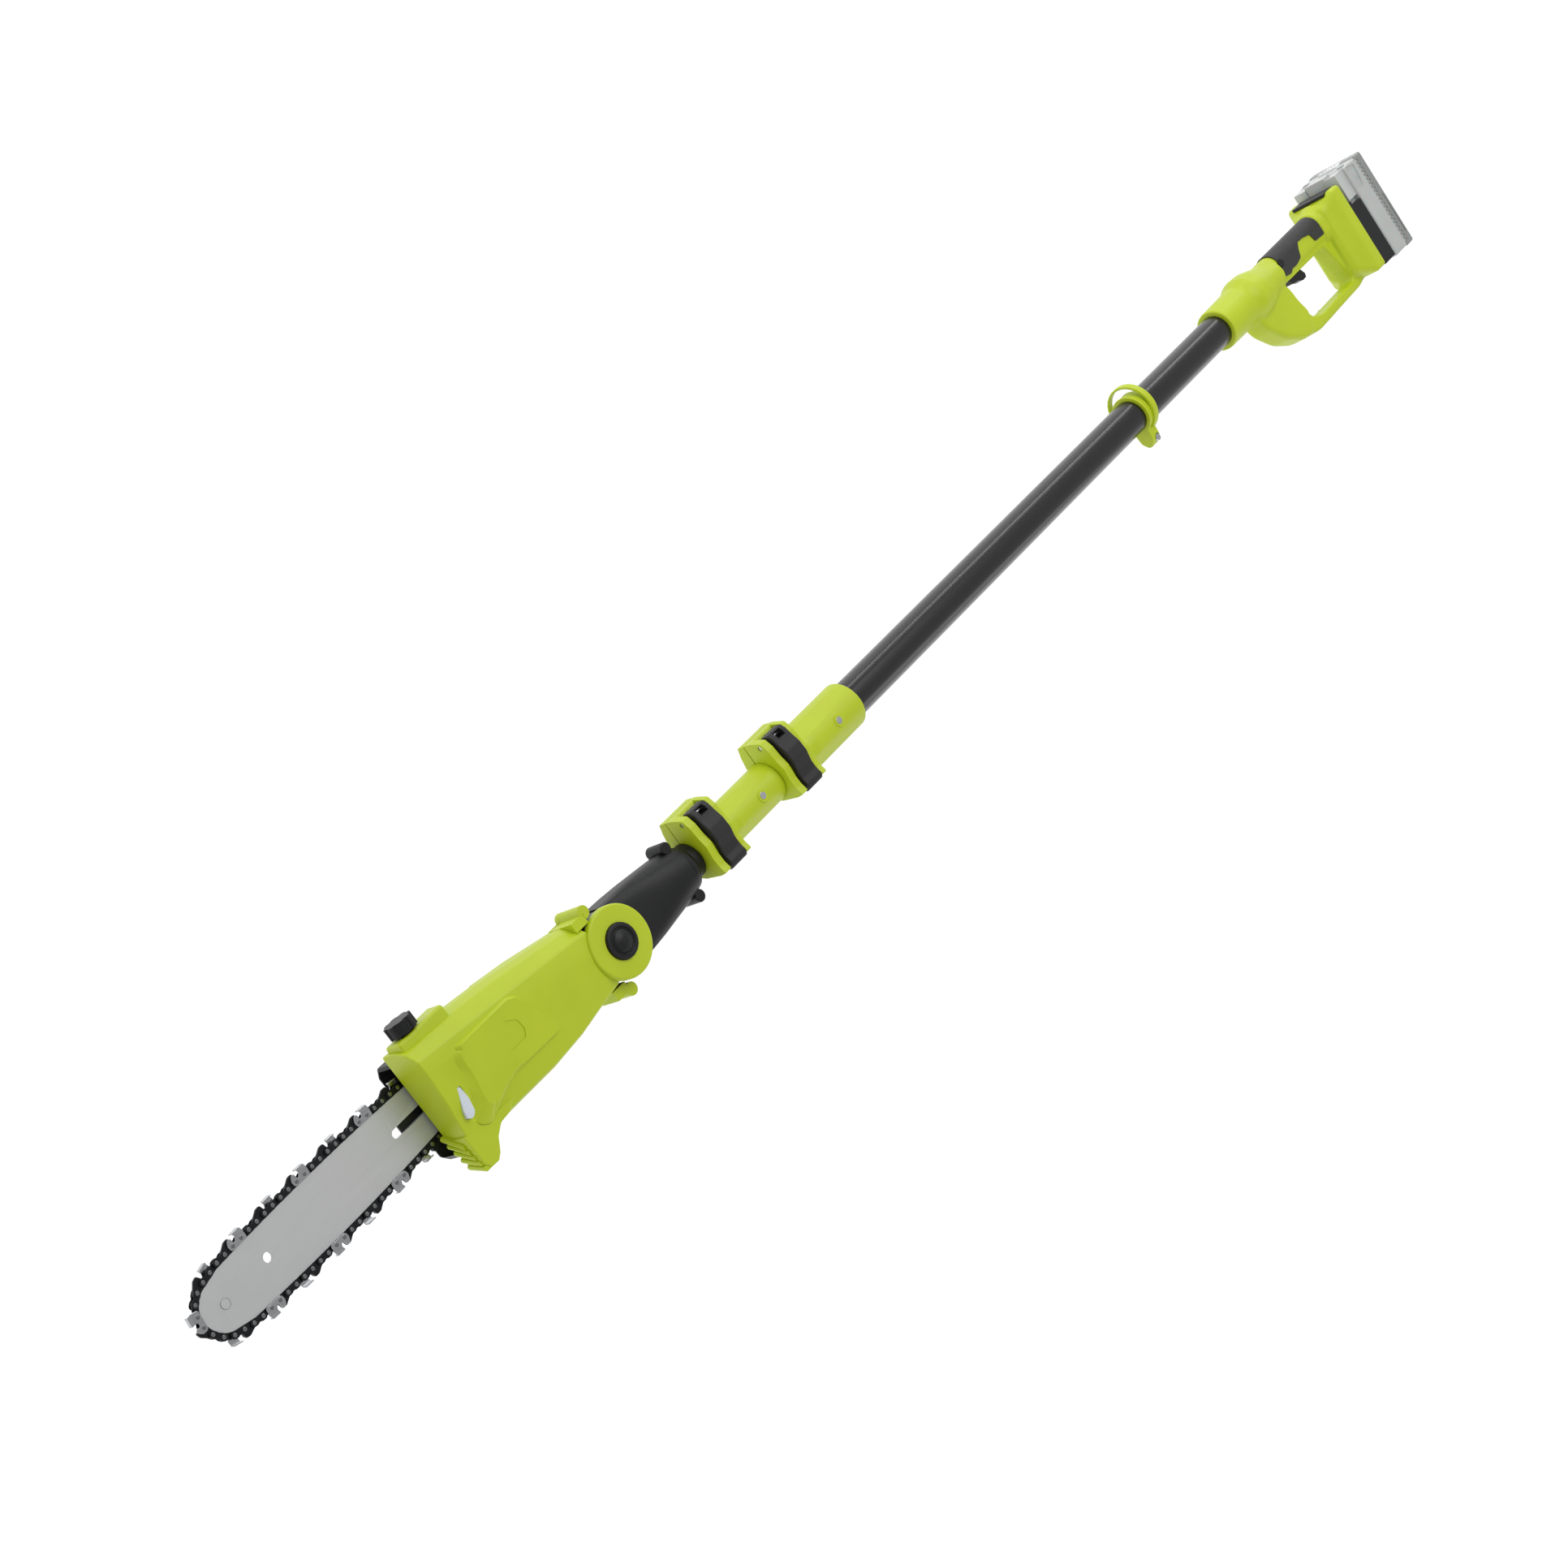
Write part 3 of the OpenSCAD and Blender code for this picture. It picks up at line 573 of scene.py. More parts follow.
def block(name, lowest, highest):
    fresh()
    size = Vector(highest) - Vector(lowest)
    centre = (Vector(highest) + Vector(lowest)) / 2
    bpy.ops.mesh.primitive_cube_add(size=1, location=centre * MM, scale=size * MM)
    obj = bpy.context.object
    obj.name = name
    bpy.ops.object.transform_apply(location=True, rotation=True, scale=True)
    return obj


print("solid helpers ready")

# %% [markdown]
# Finishing tools: `cut`, `weld` and `keep_common` are boolean modifiers that are applied at
# once, `slice_away` is Bisect with the cut filled, `soften` is the Bevel modifier on sharp
# edges, and `dress` gives a piece its finish and puts it on the body that it moves with.

# %% Finishing helpers


def apply_boolean(obj, tool, operation):
    take(obj)
    modifier = obj.modifiers.new("boolean", "BOOLEAN")
    modifier.object = tool
    modifier.operation = operation
    modifier.solver = "EXACT"
    bpy.ops.object.modifier_apply(modifier=modifier.name)
    bpy.data.objects.remove(tool)
    return obj


def cut(obj, *tools):
    for tool in tools:
        apply_boolean(obj, tool, "DIFFERENCE")
    return obj


def weld(obj, *tools):
    for tool in tools:
        apply_boolean(obj, tool, "UNION")
    return obj


def keep_common(obj, tool):
    return apply_boolean(obj, tool, "INTERSECT")


def join(name, parts):
    take(parts[0])
    for part in parts:
        part.select_set(True)
    if len(parts) > 1:
        bpy.ops.object.join()
    bpy.context.object.name = name
    return bpy.context.object


def copy_of(obj, name):
    take(obj)
    bpy.ops.object.duplicate()
    twin = bpy.context.object
    twin.name = name
    return twin


def slice_away(obj, place, normal, outer=True):
    """Cuts along a plane and fills the cut; the outer side is where the normal points."""
    edit(obj)
    bpy.ops.mesh.select_all(action="SELECT")
    bpy.ops.mesh.bisect(
        plane_co=Vector(place) * MM, plane_no=normal,
        clear_outer=outer, clear_inner=not outer, use_fill=True,
    )
    done()
    return obj


def soften(obj, width, segments=2, angle=30):
    take(obj)
    modifier = obj.modifiers.new("soften", "BEVEL")
    modifier.width = width * MM
    modifier.segments = segments
    modifier.limit_method = "ANGLE"
    modifier.angle_limit = math.radians(angle)
    modifier.use_clamp_overlap = True
    bpy.ops.object.modifier_apply(modifier=modifier.name)
    return obj


def dress(obj, finish, body, nodes=(), smooth=32):
    take(obj)
    bpy.ops.object.shade_smooth_by_angle(angle=math.radians(smooth))
    modifier = obj.modifiers.new("flat faces", "WEIGHTED_NORMAL")
    modifier.keep_sharp = True
    bpy.ops.object.modifier_apply(modifier=modifier.name)
    obj.data.materials.clear()
    obj.data.materials.append(finishes[finish])
    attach(obj, body)
    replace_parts(obj, *nodes)
    print("made", obj.name, "with", len(obj.data.polygons), "faces")
    return obj


print("finishing helpers ready")

# %% [markdown]
# ## The telescoping tubes
# Three tubes slide in one another. Each is a ring profile with a broken edge, spun round the
# pole's axis with enough steps that the long highlight stays straight.

# %% Tubes
TUBE_WALL = 1.4


def pole_tube(name, node, finish, body):
    start, end, radius = low(node, X), high(node, X), high(node, Y)
    inside = radius - TUBE_WALL
    profile = [
        (start, inside), (start, radius - 0.3), (start + 0.3, radius),
        (end - 0.3, radius), (end, radius - 0.3), (end, inside),
    ]
    tube = turned(name, profile, axis=X, steps=96, closed=True)
    return dress(tube, finish, body, [node], smooth=40)


pole_tube("outer_pole", "outer_tube", "tube_black", "pole")
pole_tube("middle_pole", "middle_tube", "tube_inner", "middle")
pole_tube("inner_pole", "inner_tube", "tube_inner", "neck")

# %% [markdown]
# A sleeve is a moulded collar that is riveted to the end of its tube and carries the clamp. It
# starts as a turned ring; four shallow flats are then sliced off it with Bisect, deeper towards
# the clamp, and a raised seat is welded on round each rivet.

# %% Sleeves


def slice_flat(obj, near, far, turn):
    """Cuts one flat: near and far are (x, radius) points of its line, turn its place round X."""
    along = Vector((far[0] - near[0], 0, far[1] - near[1])).normalized()
    normal = Vector((-along.z, 0, along.x))
    spin = Matrix.Rotation(math.radians(turn), 3, "X")
    slice_away(obj, spin @ Vector((near[0], 0, near[1])), spin @ normal)


def sleeve(name, node, body, tube_r, slide_r, rivet_x):
    start, end, radius = low(node, X), high(node, X), high(node, Y)
    seat = start + 76 * (end - start) / 95
    outside = rounded(
        [(start, radius - 2, 0), (start, radius, 1.2), (end - 15, radius, 8), (end, radius - 3, 0)],
        closed=False,
    )
    solid = turned(name, [(start, 0), *outside, (end, 0)], axis=X, steps=96)
    for turn in (45, 135, 225, 315):
        slice_flat(solid, (start + 9, radius), (end, radius * 0.915), turn)
    for side in (-1, 1):
        height = side * (radius + 0.7)
        boss = rod("seat", side * (radius - 4), height, 6.2, (rivet_x, 0))
        weld(solid, soften(boss, 0.5))
        cut(solid, rod("hole", side * (radius - 5), height + side, 2.5, (rivet_x, 0)))
    cut(solid, rod("bore", start - 1, seat, tube_r + 0.05, (0, 0), X, 96))
    cut(solid, rod("slide", start, end + 1, slide_r + 0.4, (0, 0), X, 96))
    return dress(solid, "lime_plastic", body, [node], smooth=24)


REAR_RIVET_X = middle("rear_sleeve_rivets", X)
FRONT_RIVET_X = middle("front_sleeve_rivets", X)
sleeve("rear_collar", "rear_sleeve", "pole", POLE_R, MIDDLE_R, REAR_RIVET_X)
sleeve("front_collar", "front_sleeve", "middle", MIDDLE_R, INNER_R, FRONT_RIVET_X)

# %% [markdown]
# ## Clamps
# Each clamp is a split block: two thin fins stand either side of a bed that follows the tube,
# a hinge block closes the far side and a saw cut lets the block be squeezed. It is three plates
# welded together, bored for the tube, and cut through at the hinge.

# %% Clamp bodies
FIN = [
    (-43, -9, 2), (-42, 9, 3), (-38.5, 23, 4), (-29, 27, 4), (-16, 28.5, 8), (-6, 31, 8),
    (8, 29, 8), (17, 29.5, 4), (25.5, 32, 1.2), (26.5, 24, 3), (24.5, 2, 6), (18, -16, 8),
    (0, -24.5, 14), (-18, -17, 8), (-33, -13.5, 3),
]
BED = [
    (-43, -9, 2), (-42, 8, 3), (-27, 12, 5), (-14, 20.5, 6), (0, 25, 10), (14, 21, 6),
    (24, 16, 3), (23.5, 2, 6), (17, -15, 8), (0, -23.5, 14), (-17, -16, 8), (-33, -12.5, 3),
]
PIN_Y, PIN_Z = -34, 19


def clamp_body(name, node, body, tube_r):
    start, end = low(node, X), high(node, X)
    block_x = (start + end) / 2 - 1.5
    solid = plate(name, rounded(BED), start, end, X)
    for near, far in ((start, start + 6.5), (end - 9.5, end)):
        fin = plate("fin", rounded(FIN), near, far, X)
        weld(solid, soften(fin, 0.8, 2, 40))
    cut(solid, rod("bore", start - 1, end + 1, tube_r + 0.4, (0, 0), X, 96))
    cut(solid, block("split", (start - 1, -46, -0.6), (end + 1, -tube_r + 2, 0.6)))
    cut(solid, rod("hinge", start - 1, end + 1, 2.55, (PIN_Y, PIN_Z), X, 32))
    cut(solid, rod("bolt", -22, 22, 2.55, (block_x, -36), Z, 32))
    return dress(solid, "lime_plastic", body, [node])


clamp_body("rear_clamp_block", "rear_clamp_body", "pole", MIDDLE_R)
clamp_body("front_clamp_block", "front_clamp_body", "middle", INNER_R)

# %% [markdown]
# The lever is a thick S-shaped bar that lies over the tube between the fins. Its drawn outline
# is extruded across the pole, the long edges are rolled over with a wide bevel, and a square
# pocket at the hinge end shows the bright cam pin.

# %% Clamp levers
LEVER = [
    (-40, 13.5, 3), (-39.5, 24, 3), (-35.5, 28.5, 2), (-27, 31, 3), (-17, 35, 10), (-5, 35.8, 12),
    (6, 32.6, 12), (14, 31.8, 8), (21, 33.8, 6), (27, 32.5, 3.5), (28.6, 26, 4), (26, 19.5, 3),
    (21, 20, 3), (16.5, 24, 6), (8, 27.2, 8), (0, 28.6, 10), (-10, 27.4, 8), (-20, 22.4, 8),
    (-27, 16.5, 5), (-33, 13, 3),
]


def clamp_lever(name, node, body):
    start, end = low(node, X), high(node, X)
    bar = plate(name, rounded(LEVER, step=10), start, end, X)
    soften(bar, 1.3, 3, 40)
    cut(bar, rod("pin", start - 1, end + 1, 2.6, (PIN_Y, PIN_Z), X, 32))
    cut(bar, block("pocket", (start + 5.5, -38, 16), (end - 6.5, -30.5, 40)))
    return dress(bar, "lever_plastic", body, [node])


clamp_lever("rear_clamp_handle", "rear_clamp_lever", "rear_lever")
clamp_lever("front_clamp_handle", "front_clamp_lever", "front_lever")

# %% [markdown]
# ## Strap ring
# The strap ring is a split band with a rim, a screwed lug below, and a larger loop round it that
# sits off centre, so a crescent stays open for the strap's hook. Both of the loop's circles are
# plain rods: the inner one is cut out of the outer one before the loop is welded to the band.

# %% Strap ring
RING_X = middle("strap_ring", X)
RING_HALF = 7.5
LUG_Y = 37
LOOP_R, LOOP_CENTRE = 31.5, (-4, -3)
HOOK_R, HOOK_CENTRE = 27.7, (-4.8, -3.6)


def strap_band():
    start, rim, end = RING_X - RING_HALF, RING_X + RING_HALF, RING_X + RING_HALF + 3
    profile = rounded(
        [
            (start, POLE_R + 0.05, 0), (start, POLE_R + 4, 1), (rim, POLE_R + 3.2, 1),
            (rim + 0.6, POLE_R + 4.4, 0.8), (end, POLE_R + 4.4, 0.8), (end, POLE_R + 0.05, 0),
        ],
        closed=False,
    )
    band = turned("strap_band", profile, axis=X, steps=96, closed=True)
    lug_shape = rounded([(19, -11, 3), (36, -9.4, 9), (46, 0, 9), (36, 9.4, 9), (19, 11, 3)])
    lug = plate("lug", lug_shape, start + 2, end, X)
    soften(lug, 1.2, 3, 40)
    cut(lug, rod("bore", RING_X - 20, RING_X + 20, POLE_R + 0.05, (0, 0), X, 96))
    weld(band, lug)
    loop = rod("loop", start, RING_X + 1.5, LOOP_R, LOOP_CENTRE, X, 96)
    cut(loop, rod("eye", RING_X - 20, RING_X + 20, HOOK_R, HOOK_CENTRE, X, 96))
    weld(band, soften(loop, 1.6, 3, 40))
    cut(band, rod("bore", RING_X - 60, RING_X + 60, POLE_R + 0.05, (0, 0), X, 96))
    cut(band, block("split", (RING_X - 10, 10, -0.6), (RING_X + 10, 50, 0.6)))
    cut(band, rod("screw", -12, 12, 2.2, (RING_X, LUG_Y)))
    for side in (-1, 1):
        cut(band, rod("sink", side * 6, side * 12, 5, (RING_X, LUG_Y), Z, 40))
    return dress(band, "lime_plastic", "pole", ["strap_ring"])


strap_band()

# %% [markdown]
# ## Neck
# The neck grows from the round end of the inner tube into the flat eye of the tilt pivot. Its
# sections are superellipses, which pass smoothly from a circle to a rounded box, bridged in
# order. The two shells are the same solid cut down the middle, and the left one is opened for
# the toothed ring that holds the tilt.

# %% Neck shells
NECK_X = low("neck_shell_left", X)
EYE_R = 33.5
EYE_HALF = 19.7
BOLT_BORE = 6.05
SCREW_BORE = 1.95


def superellipse(half_y, half_z, power, count=40):
    outline = []
    for i in range(count):
        angle = math.tau * (i + 0.5) / count
        c, s = math.cos(angle), math.sin(angle)
        size = (abs(c) ** power + abs(s) ** power) ** (-1 / power)
        outline.append((half_y * c * size, half_z * s * size))
    return outline


def neck_solid(name):
    sections = [
        (NECK_X + 16, superellipse(24.6, 24.6, 2)), (NECK_X + 22, superellipse(26, 25, 2.1)),
        (NECK_X + 40, superellipse(28, 24, 2.4)), (NECK_X + 62, superellipse(30, 22.2, 3)),
        (NECK_X + 82, superellipse(31.6, 20.6, 4)), (PIVOT_X - 36, superellipse(32.4, 19.7, 6)),
        (PIVOT_X - 12, superellipse(33, 19.7, 8)),
    ]
    solid = loft(name, sections)
    ring = turned("ring", rounded(
        [(NECK_X, 0, 0), (NECK_X, 19, 1), (NECK_X + 9.5, 19.4, 2), (NECK_X + 15, 24.4, 2),
         (NECK_X + 20, 25.2, 0), (NECK_X + 20, 0, 0)], closed=False), axis=X, steps=80)
    weld(solid, ring)
    eye = rod("eye", -EYE_HALF, EYE_HALF, EYE_R, (PIVOT_X, 0), Z, 96)
    weld(solid, soften(eye, 1, 2))
    for side in (-1, 1):
        web = block("web", (NECK_X + 19, side * 24 - 3, -8), (NECK_X + 36, side * 24 + 3, 8))
        weld(solid, soften(web, 1.5, 2))
        screw = (NECK_X + 24, side * 28)
        weld(solid, soften(rod("boss", -13, 13, 6.4, screw, Z, 40), 1.6, 3))
        cut(solid, rod("hole", -24, 11, SCREW_BORE, screw, Z, 24))
    cut(solid, rod("bore", NECK_X - 1, NECK_X + 62, INNER_R + 0.05, (0, 0), X, 80))
    cut(solid, rod("axle", -30, 30, BOLT_BORE, (PIVOT_X, 0), Z, 40))
    return solid


def half_of(obj, name, side, gap=0.05):
    """The part of a solid above (side 1) or below (side -1) the middle plane."""
    return slice_away(copy_of(obj, name), (0, 0, side * gap), (0, 0, 1), outer=side < 0)


whole_neck = neck_solid("whole_neck")
left_neck = half_of(whole_neck, "neck_left", 1)
cut(left_neck, rod("detent_seat", EYE_HALF - 4, 30, 24, (PIVOT_X, 0), Z, 64))
right_neck = half_of(whole_neck, "neck_right", -1)
bpy.data.objects.remove(whole_neck)
dress(left_neck, "black_plastic", "neck", ["neck_shell_left"])
dress(right_neck, "black_plastic", "neck", ["neck_shell_right"])

# %% [markdown]
# ## Saw head
# The left shell is lofted through six stations. Its section has a wide two-facet chamfer along
# the upper edge, a face that falls away towards the lower edge, and flat ends at the split. The
# chamfer grows towards the bar, which gives the head its wedge shape.

# %% Head loft
FACE_X = high("chain_cover", X)
HEAD_X = PIVOT_X + 22
EDGE_LINES = [
    (HEAD_X, -41, 31), (HEAD_X + 32, -47, 35), (HEAD_X + 63, -52, 39.5),
    (HEAD_X + 107, -59, 42), (HEAD_X + 153, -64, 41), (FACE_X - 1, -68, 40),
]


def left_section(x, top, bottom, inset=0.0):
    t = (x - HEAD_X) / (FACE_X - 1 - HEAD_X)
    ridge = (-29 - 25.5 * t, 26 + 12.5 * t)
    outline = [
        (top, SPLIT_Z), (top, 6 + 6 * t), (top + 4, 16 + 12 * t), ridge,
        (ridge[0] + 14, ridge[1] + 1), (-8, 27.5 + 8 * t), (15, 26 + 3.5 * t),
        (bottom - 3, 22 + 3 * t), (bottom, 14 + 4 * t), (bottom, SPLIT_Z),
    ]
    if not inset:
        return outline
    return [
        (y - inset * (1 if y > 0 else -1), SPLIT_Z - 1 if z == SPLIT_Z else z - inset)
        for y, z in outline
    ]


left_head = loft("head_left", [(x, left_section(x, a, b)) for x, a, b in EDGE_LINES])
soften(left_head, 1.8, 3, 16)
print("head loft has", len(left_head.data.polygons), "faces")

# %% [markdown]
# The pivot cheek, the screw ears, the flared lower lip with its ridges, the filler platform and
# the raised side panel are welded on one at a time. The panel's top is a slanted plane, so it is
# drawn too tall and sliced by Bisect before its rim is rolled over.

# %% Head details
PANEL_LOW = [
    (944, -46, 12), (855, -42, 9), (846, -38, 6), (824, 12, 8), (828, 18, 6), (893, 17, 40),
    (939, 33, 10), (949, 26, 8), (954, -36, 14),
]
PANEL_HIGH = [
    (918, -37, 6), (861, -34, 8), (854, -30, 6), (835, 4, 8), (838, 7, 6), (886, 3, 40),
    (905, 5, 8), (913, 0, 6), (920, -28, 8),
]
LIP = [
    (905, 30, 0), (915, 38, 6), (930, 39, 8), (940, 46, 6), (948, 57, 4), (954, 61.5, 4),
    (963, 61, 3), (FACE_X + 1, 55, 4), (FACE_X + 1, 24, 0),
]
PANEL_TOP = 41.8
PANEL_NORMAL = (-0.06, 0.115, 1)
WINDOW = [
    (945.2, -13, 1.5), (949, -13.5, 1.5), (957, 6, 5), (958, 13.5, 3), (953, 16.5, 3),
    (947.5, 13, 5), (944.5, 0, 8),
]
CHEEK_R = 35.5
CHEEK_INSIDE = 20.2
EAR_X, EAR_Y = PIVOT_X + 11, 43
FILLER_X, FILLER_Z = 943, 13


def cheek(solid, start, end):
    disc = rod("cheek", start, end, CHEEK_R, (PIVOT_X, 0), Z, 128)
    weld(solid, soften(disc, 2.4, 4, 40))


def ear_holes(solid, start, end):
    for side in (-1, 1):
        cut(solid, rod("screw", start, end, SCREW_BORE, (EAR_X, side * EAR_Y), Z, 24))


def ears(solid, start, top_end, low_end):
    for side, end in ((-1, top_end), (1, low_end)):
        boss = rod("boss", start, end, 6.6, (EAR_X, side * EAR_Y), Z, 48)
        web = block("web", (EAR_X + 2, side * 38 - 5, start), (EAR_X + 19, side * 38 + 5, end))
        weld(boss, web)
        weld(solid, soften(boss, 1.4, 3, 40))


cheek(left_head, CHEEK_INSIDE, 30)
ears(left_head, SPLIT_Z, 25, 14)
lip = plate("lip", rounded(LIP), 1, 27)
weld(left_head, soften(lip, 2, 3, 40))
for i in range(5):
    ends = []
    for y, z in ((20.7 + 8.2 * i, 1.8 * i - 5), (33.8 + 6.2 * i, 19.2 + 1.6 * i)):
        ends.append((z, rounded([
            (FACE_X - 8, y - 2.4, 0), (FACE_X + 2.5, y - 2.4, 1.5), (FACE_X + 4.6 - 0.3 * i, y, 1.5),
            (FACE_X + 2.5, y + 2.4, 1.5), (FACE_X - 8, y + 2.4, 0)])))
    weld(left_head, soften(loft("ridge", ends, Z), 0.6, 2, 50))
platform = block("platform", (904, -73.5, 0), (962, -55, 24))
weld(left_head, soften(platform, 3, 3, 40))
panel = loft("panel", [(28, rounded(PANEL_LOW)), (46, rounded(PANEL_HIGH))], Z)
slice_away(panel, (930, -40, PANEL_TOP), PANEL_NORMAL)
weld(left_head, soften(panel, 1.6, 3, 20))
badge = plate("badge", rounded([(873, -26, 4), (861, -19, 4), (859, -8, 4), (863, -1, 4),
                                (884, -1, 5), (890, -12, 5)]), 30, 50)
slice_away(badge, (930, -40, PANEL_TOP - 0.6), PANEL_NORMAL, outer=False)
cut(left_head, badge)
print("head details welded:", len(left_head.data.polygons), "faces")

# %% [markdown]
# The shell is then hollowed with a slightly smaller loft, and opened for the neck, the pivot
# bolt, the button, the oil window, the filler neck and the sprocket's shaft.

# %% Head openings
WALL = 3
inner = [(x, left_section(x, a, b, WALL)) for x, a, b in EDGE_LINES[1:-1]]
inner.append((FACE_X - 1 - WALL, left_section(FACE_X - 1 - WALL, -68, 40, WALL)))
cut(left_head, loft("cavity", inner))
cut(left_head, rod("neck", SPLIT_Z - 1, CHEEK_INSIDE, EYE_R + 0.8, (PIVOT_X, 0), Z, 96))
cut(left_head, rod("bolt", SPLIT_Z - 1, 50, BOLT_BORE, (PIVOT_X, 0), Z, 48))
cut(left_head, rod("button", 23, 50, 17.8, (PIVOT_X, 0), Z, 72))
cut(left_head, plate("opening", rounded(WINDOW), 15, 60))
cut(left_head, rod("filler", -90, -50, 9.05, (FILLER_X, FILLER_Z), Y, 48))
cut(left_head, rod("shaft", SPLIT_Z - 5, 0, 11.05, (SHAFT_X, BAR_Y), Z, 48))
ear_holes(left_head, SPLIT_Z - 1, 8)
dress(left_head, "lime_plastic", "head", ["head_shell_left"], smooth=28)

window = plate("sight_glass", rounded(WINDOW), 20, 34.5)
take(window)
bpy.ops.transform.resize(
    value=(0.98, 0.985, 1), center_override=Vector((947, 2, 30)) * MM,
)
bpy.ops.object.transform_apply(location=True, rotation=True, scale=True)
soften(window, 0.8, 3, 40)
dress(window, "window_clear", "head", ["oil_window"])

# %% [markdown]
# The right shell is simpler and shorter, because the chain cover takes its place in front. The
# cover is a black tray that is open towards the bar, with a guide block that fills the end of
# the bar's slot.

# %% Right shell and chain cover
SEAM_Z = SPLIT_Z - 0.1
RIGHT = [
    (HEAD_X, [(-41, SEAM_Z), (-41, -14), (-30, -25), (28, -25), (32, -16), (32, SEAM_Z)]),
    (HEAD_X + 63, [(-52, SEAM_Z), (-52, -17), (-43, -28), (33, -28), (39, -17), (39, SEAM_Z)]),
    (849, [(-57.4, SEAM_Z), (-57.4, -18), (-49, -28.6), (36, -28.6), (41, -18), (41, SEAM_Z)]),
]
right_head = loft("head_right", RIGHT)
soften(right_head, 2, 3, 20)
cheek(right_head, -30, -CHEEK_INSIDE)
ears(right_head, -13, SEAM_Z, SEAM_Z)
inner = []
for x, outline in RIGHT:
    shifted = [
        (y - math.copysign(WALL, y), SPLIT_Z + 1 if z == SEAM_Z else z + WALL) for y, z in outline
    ]
    inner.append((x + (25 if x == HEAD_X else -WALL), shifted))
cut(right_head, loft("cavity", inner))
cut(right_head, rod("neck", -CHEEK_INSIDE, 5, EYE_R + 0.8, (PIVOT_X, 0), Z, 96))
cut(right_head, rod("bolt", -40, 5, BOLT_BORE, (PIVOT_X, 0), Z, 48))
ear_holes(right_head, -22, 0)
dress(right_head, "lime_plastic", "head", ["head_shell_right"], smooth=28)

COVER = [
    (852, -46, 4), (864, -56, 6), (FACE_X - 5, -58, 3), (FACE_X - 0.5, -50, 3),
    (FACE_X - 0.5, 38, 4), (959, 47, 6), (930, 50, 14), (864, 42, 6), (852, 30, 4),
]
COVER_LOW = low("chain_cover", Z)
cover = plate("side_cover", rounded(COVER), COVER_LOW, SPLIT_Z - 0.3)
soften(cover, 2, 3, 40)
tray = [(a + 3 if a < 900 else a + 6 * (a > 960), b - 3 if b > 0 else b + 3, r) for a, b, r in COVER]
cut(cover, plate("tray", rounded(tray), COVER_LOW + 3, SPLIT_Z + 5))
cut(cover, rod("stud", COVER_LOW - 3, 0, 4.3, (930, BAR_Y), Z, 40))
guide = block("guide", (FACE_X - 5, -17, -19.6), (988, -4, -16.6))
weld(cover, soften(guide, 0.5, 2, 40))
dress(cover, "black_plastic", "head", ["chain_cover"])

# %% [markdown]
# The pivot button is a black disc with a rim, a groove and a low dome in the middle. A pocket
# in its underside leaves room for the spring when the button is pressed.

# %% Pivot button
button_low, button_high = low("pivot_button", Z), high("pivot_button", Z)
button = turned("tilt_button", rounded([
    (button_low, 0, 0), (button_low, 17.4, 0.3), (button_high - 3, 17.4, 1.4),
    (button_high - 2.6, 13.6, 1), (button_high - 4.6, 12, 1), (button_high - 1.8, 9.6, 2),
    (button_high - 0.2, 4, 6), (button_high, 0, 0)], closed=False),
    centre=(PIVOT_X, 0, 0), axis=Z, steps=72)
spring_r = (high("pivot_spring", X) - low("pivot_spring", X)) / 2
pocket = rod("pocket", button_low - 1, button_low + 4, spring_r + 0.4, (PIVOT_X, 0), Z, 64)
cut(button, pocket)
dress(button, "black_plastic", "pivot_button", ["pivot_button"])

# %% [markdown]
# ## Guide bar
# The bar's edge is a shallow belly that runs into a round nose. The adjusting slot and the
# round hole are cut through, the nose is hollowed for its sprocket and the edges get a tiny
# bevel. On each face the sprocket's rivet stands in a ring groove.

# %% Guide bar
BAR_TAIL, BAR_END, NOSE_R = 912, 1196, 22
BAR_HALF_T = 2
SLOT_END, SLOT_HALF = 997, 4.2
RIVET_X = NOSE_X - 1


def belly(x):
    return 28 - 2.4 * ((x - 1090) / 110) ** 2


def bar_edge(grow, steps=28):
    """The bar's outline, grown outwards by some millimetres, from the tail round the nose."""
    xs = [BAR_TAIL + i * (BAR_END - BAR_TAIL) / steps for i in range(steps + 1)]
    upper = [(x, BAR_Y - belly(x) - grow) for x in xs]
    nose = []
    for i in range(1, 24):
        angle = math.radians(-78 + 156 * i / 24)
        reach = NOSE_R + grow + 0.25
        nose.append((NOSE_X + reach * math.cos(angle), BAR_Y + reach * math.sin(angle)))
    lower = [(x, BAR_Y + belly(x) + grow) for x in reversed(xs)]
    return upper + nose + lower


bar = plate("bar", bar_edge(0), BAR_Z - BAR_HALF_T, BAR_Z + BAR_HALF_T)
slot = block("slot", (BAR_TAIL - 5, BAR_Y - SLOT_HALF, -20), (SLOT_END, BAR_Y + SLOT_HALF, 0))
weld(slot, rod("slot_end", -20, 0, SLOT_HALF, (SLOT_END - 0.2, BAR_Y), Z, 48))
cut(bar, slot, rod("hole", -20, 0, 4.6, (1156, BAR_Y - 2.5), Z, 48))
cut(bar, rod("recess", BAR_Z - 1.2, BAR_Z + 1.2, 15.5, (NOSE_X, BAR_Y), Z, 64))
soften(bar, 0.5, 2, 40)
for side in (-1, 1):
    face = BAR_Z + side * BAR_HALF_T
    cut(bar, rod("ring", face - 0.45, face + 0.45, 4.9, (RIVET_X, BAR_Y), Z, 48))
    pin = rod("nose_rivet", face - 0.4, face + 0.4, 4.1, (RIVET_X, BAR_Y), Z, 48)
    weld(bar, soften(pin, 0.2, 2, 40))
dress(bar, "bar_steel", "head", ["guide_bar"], smooth=24)

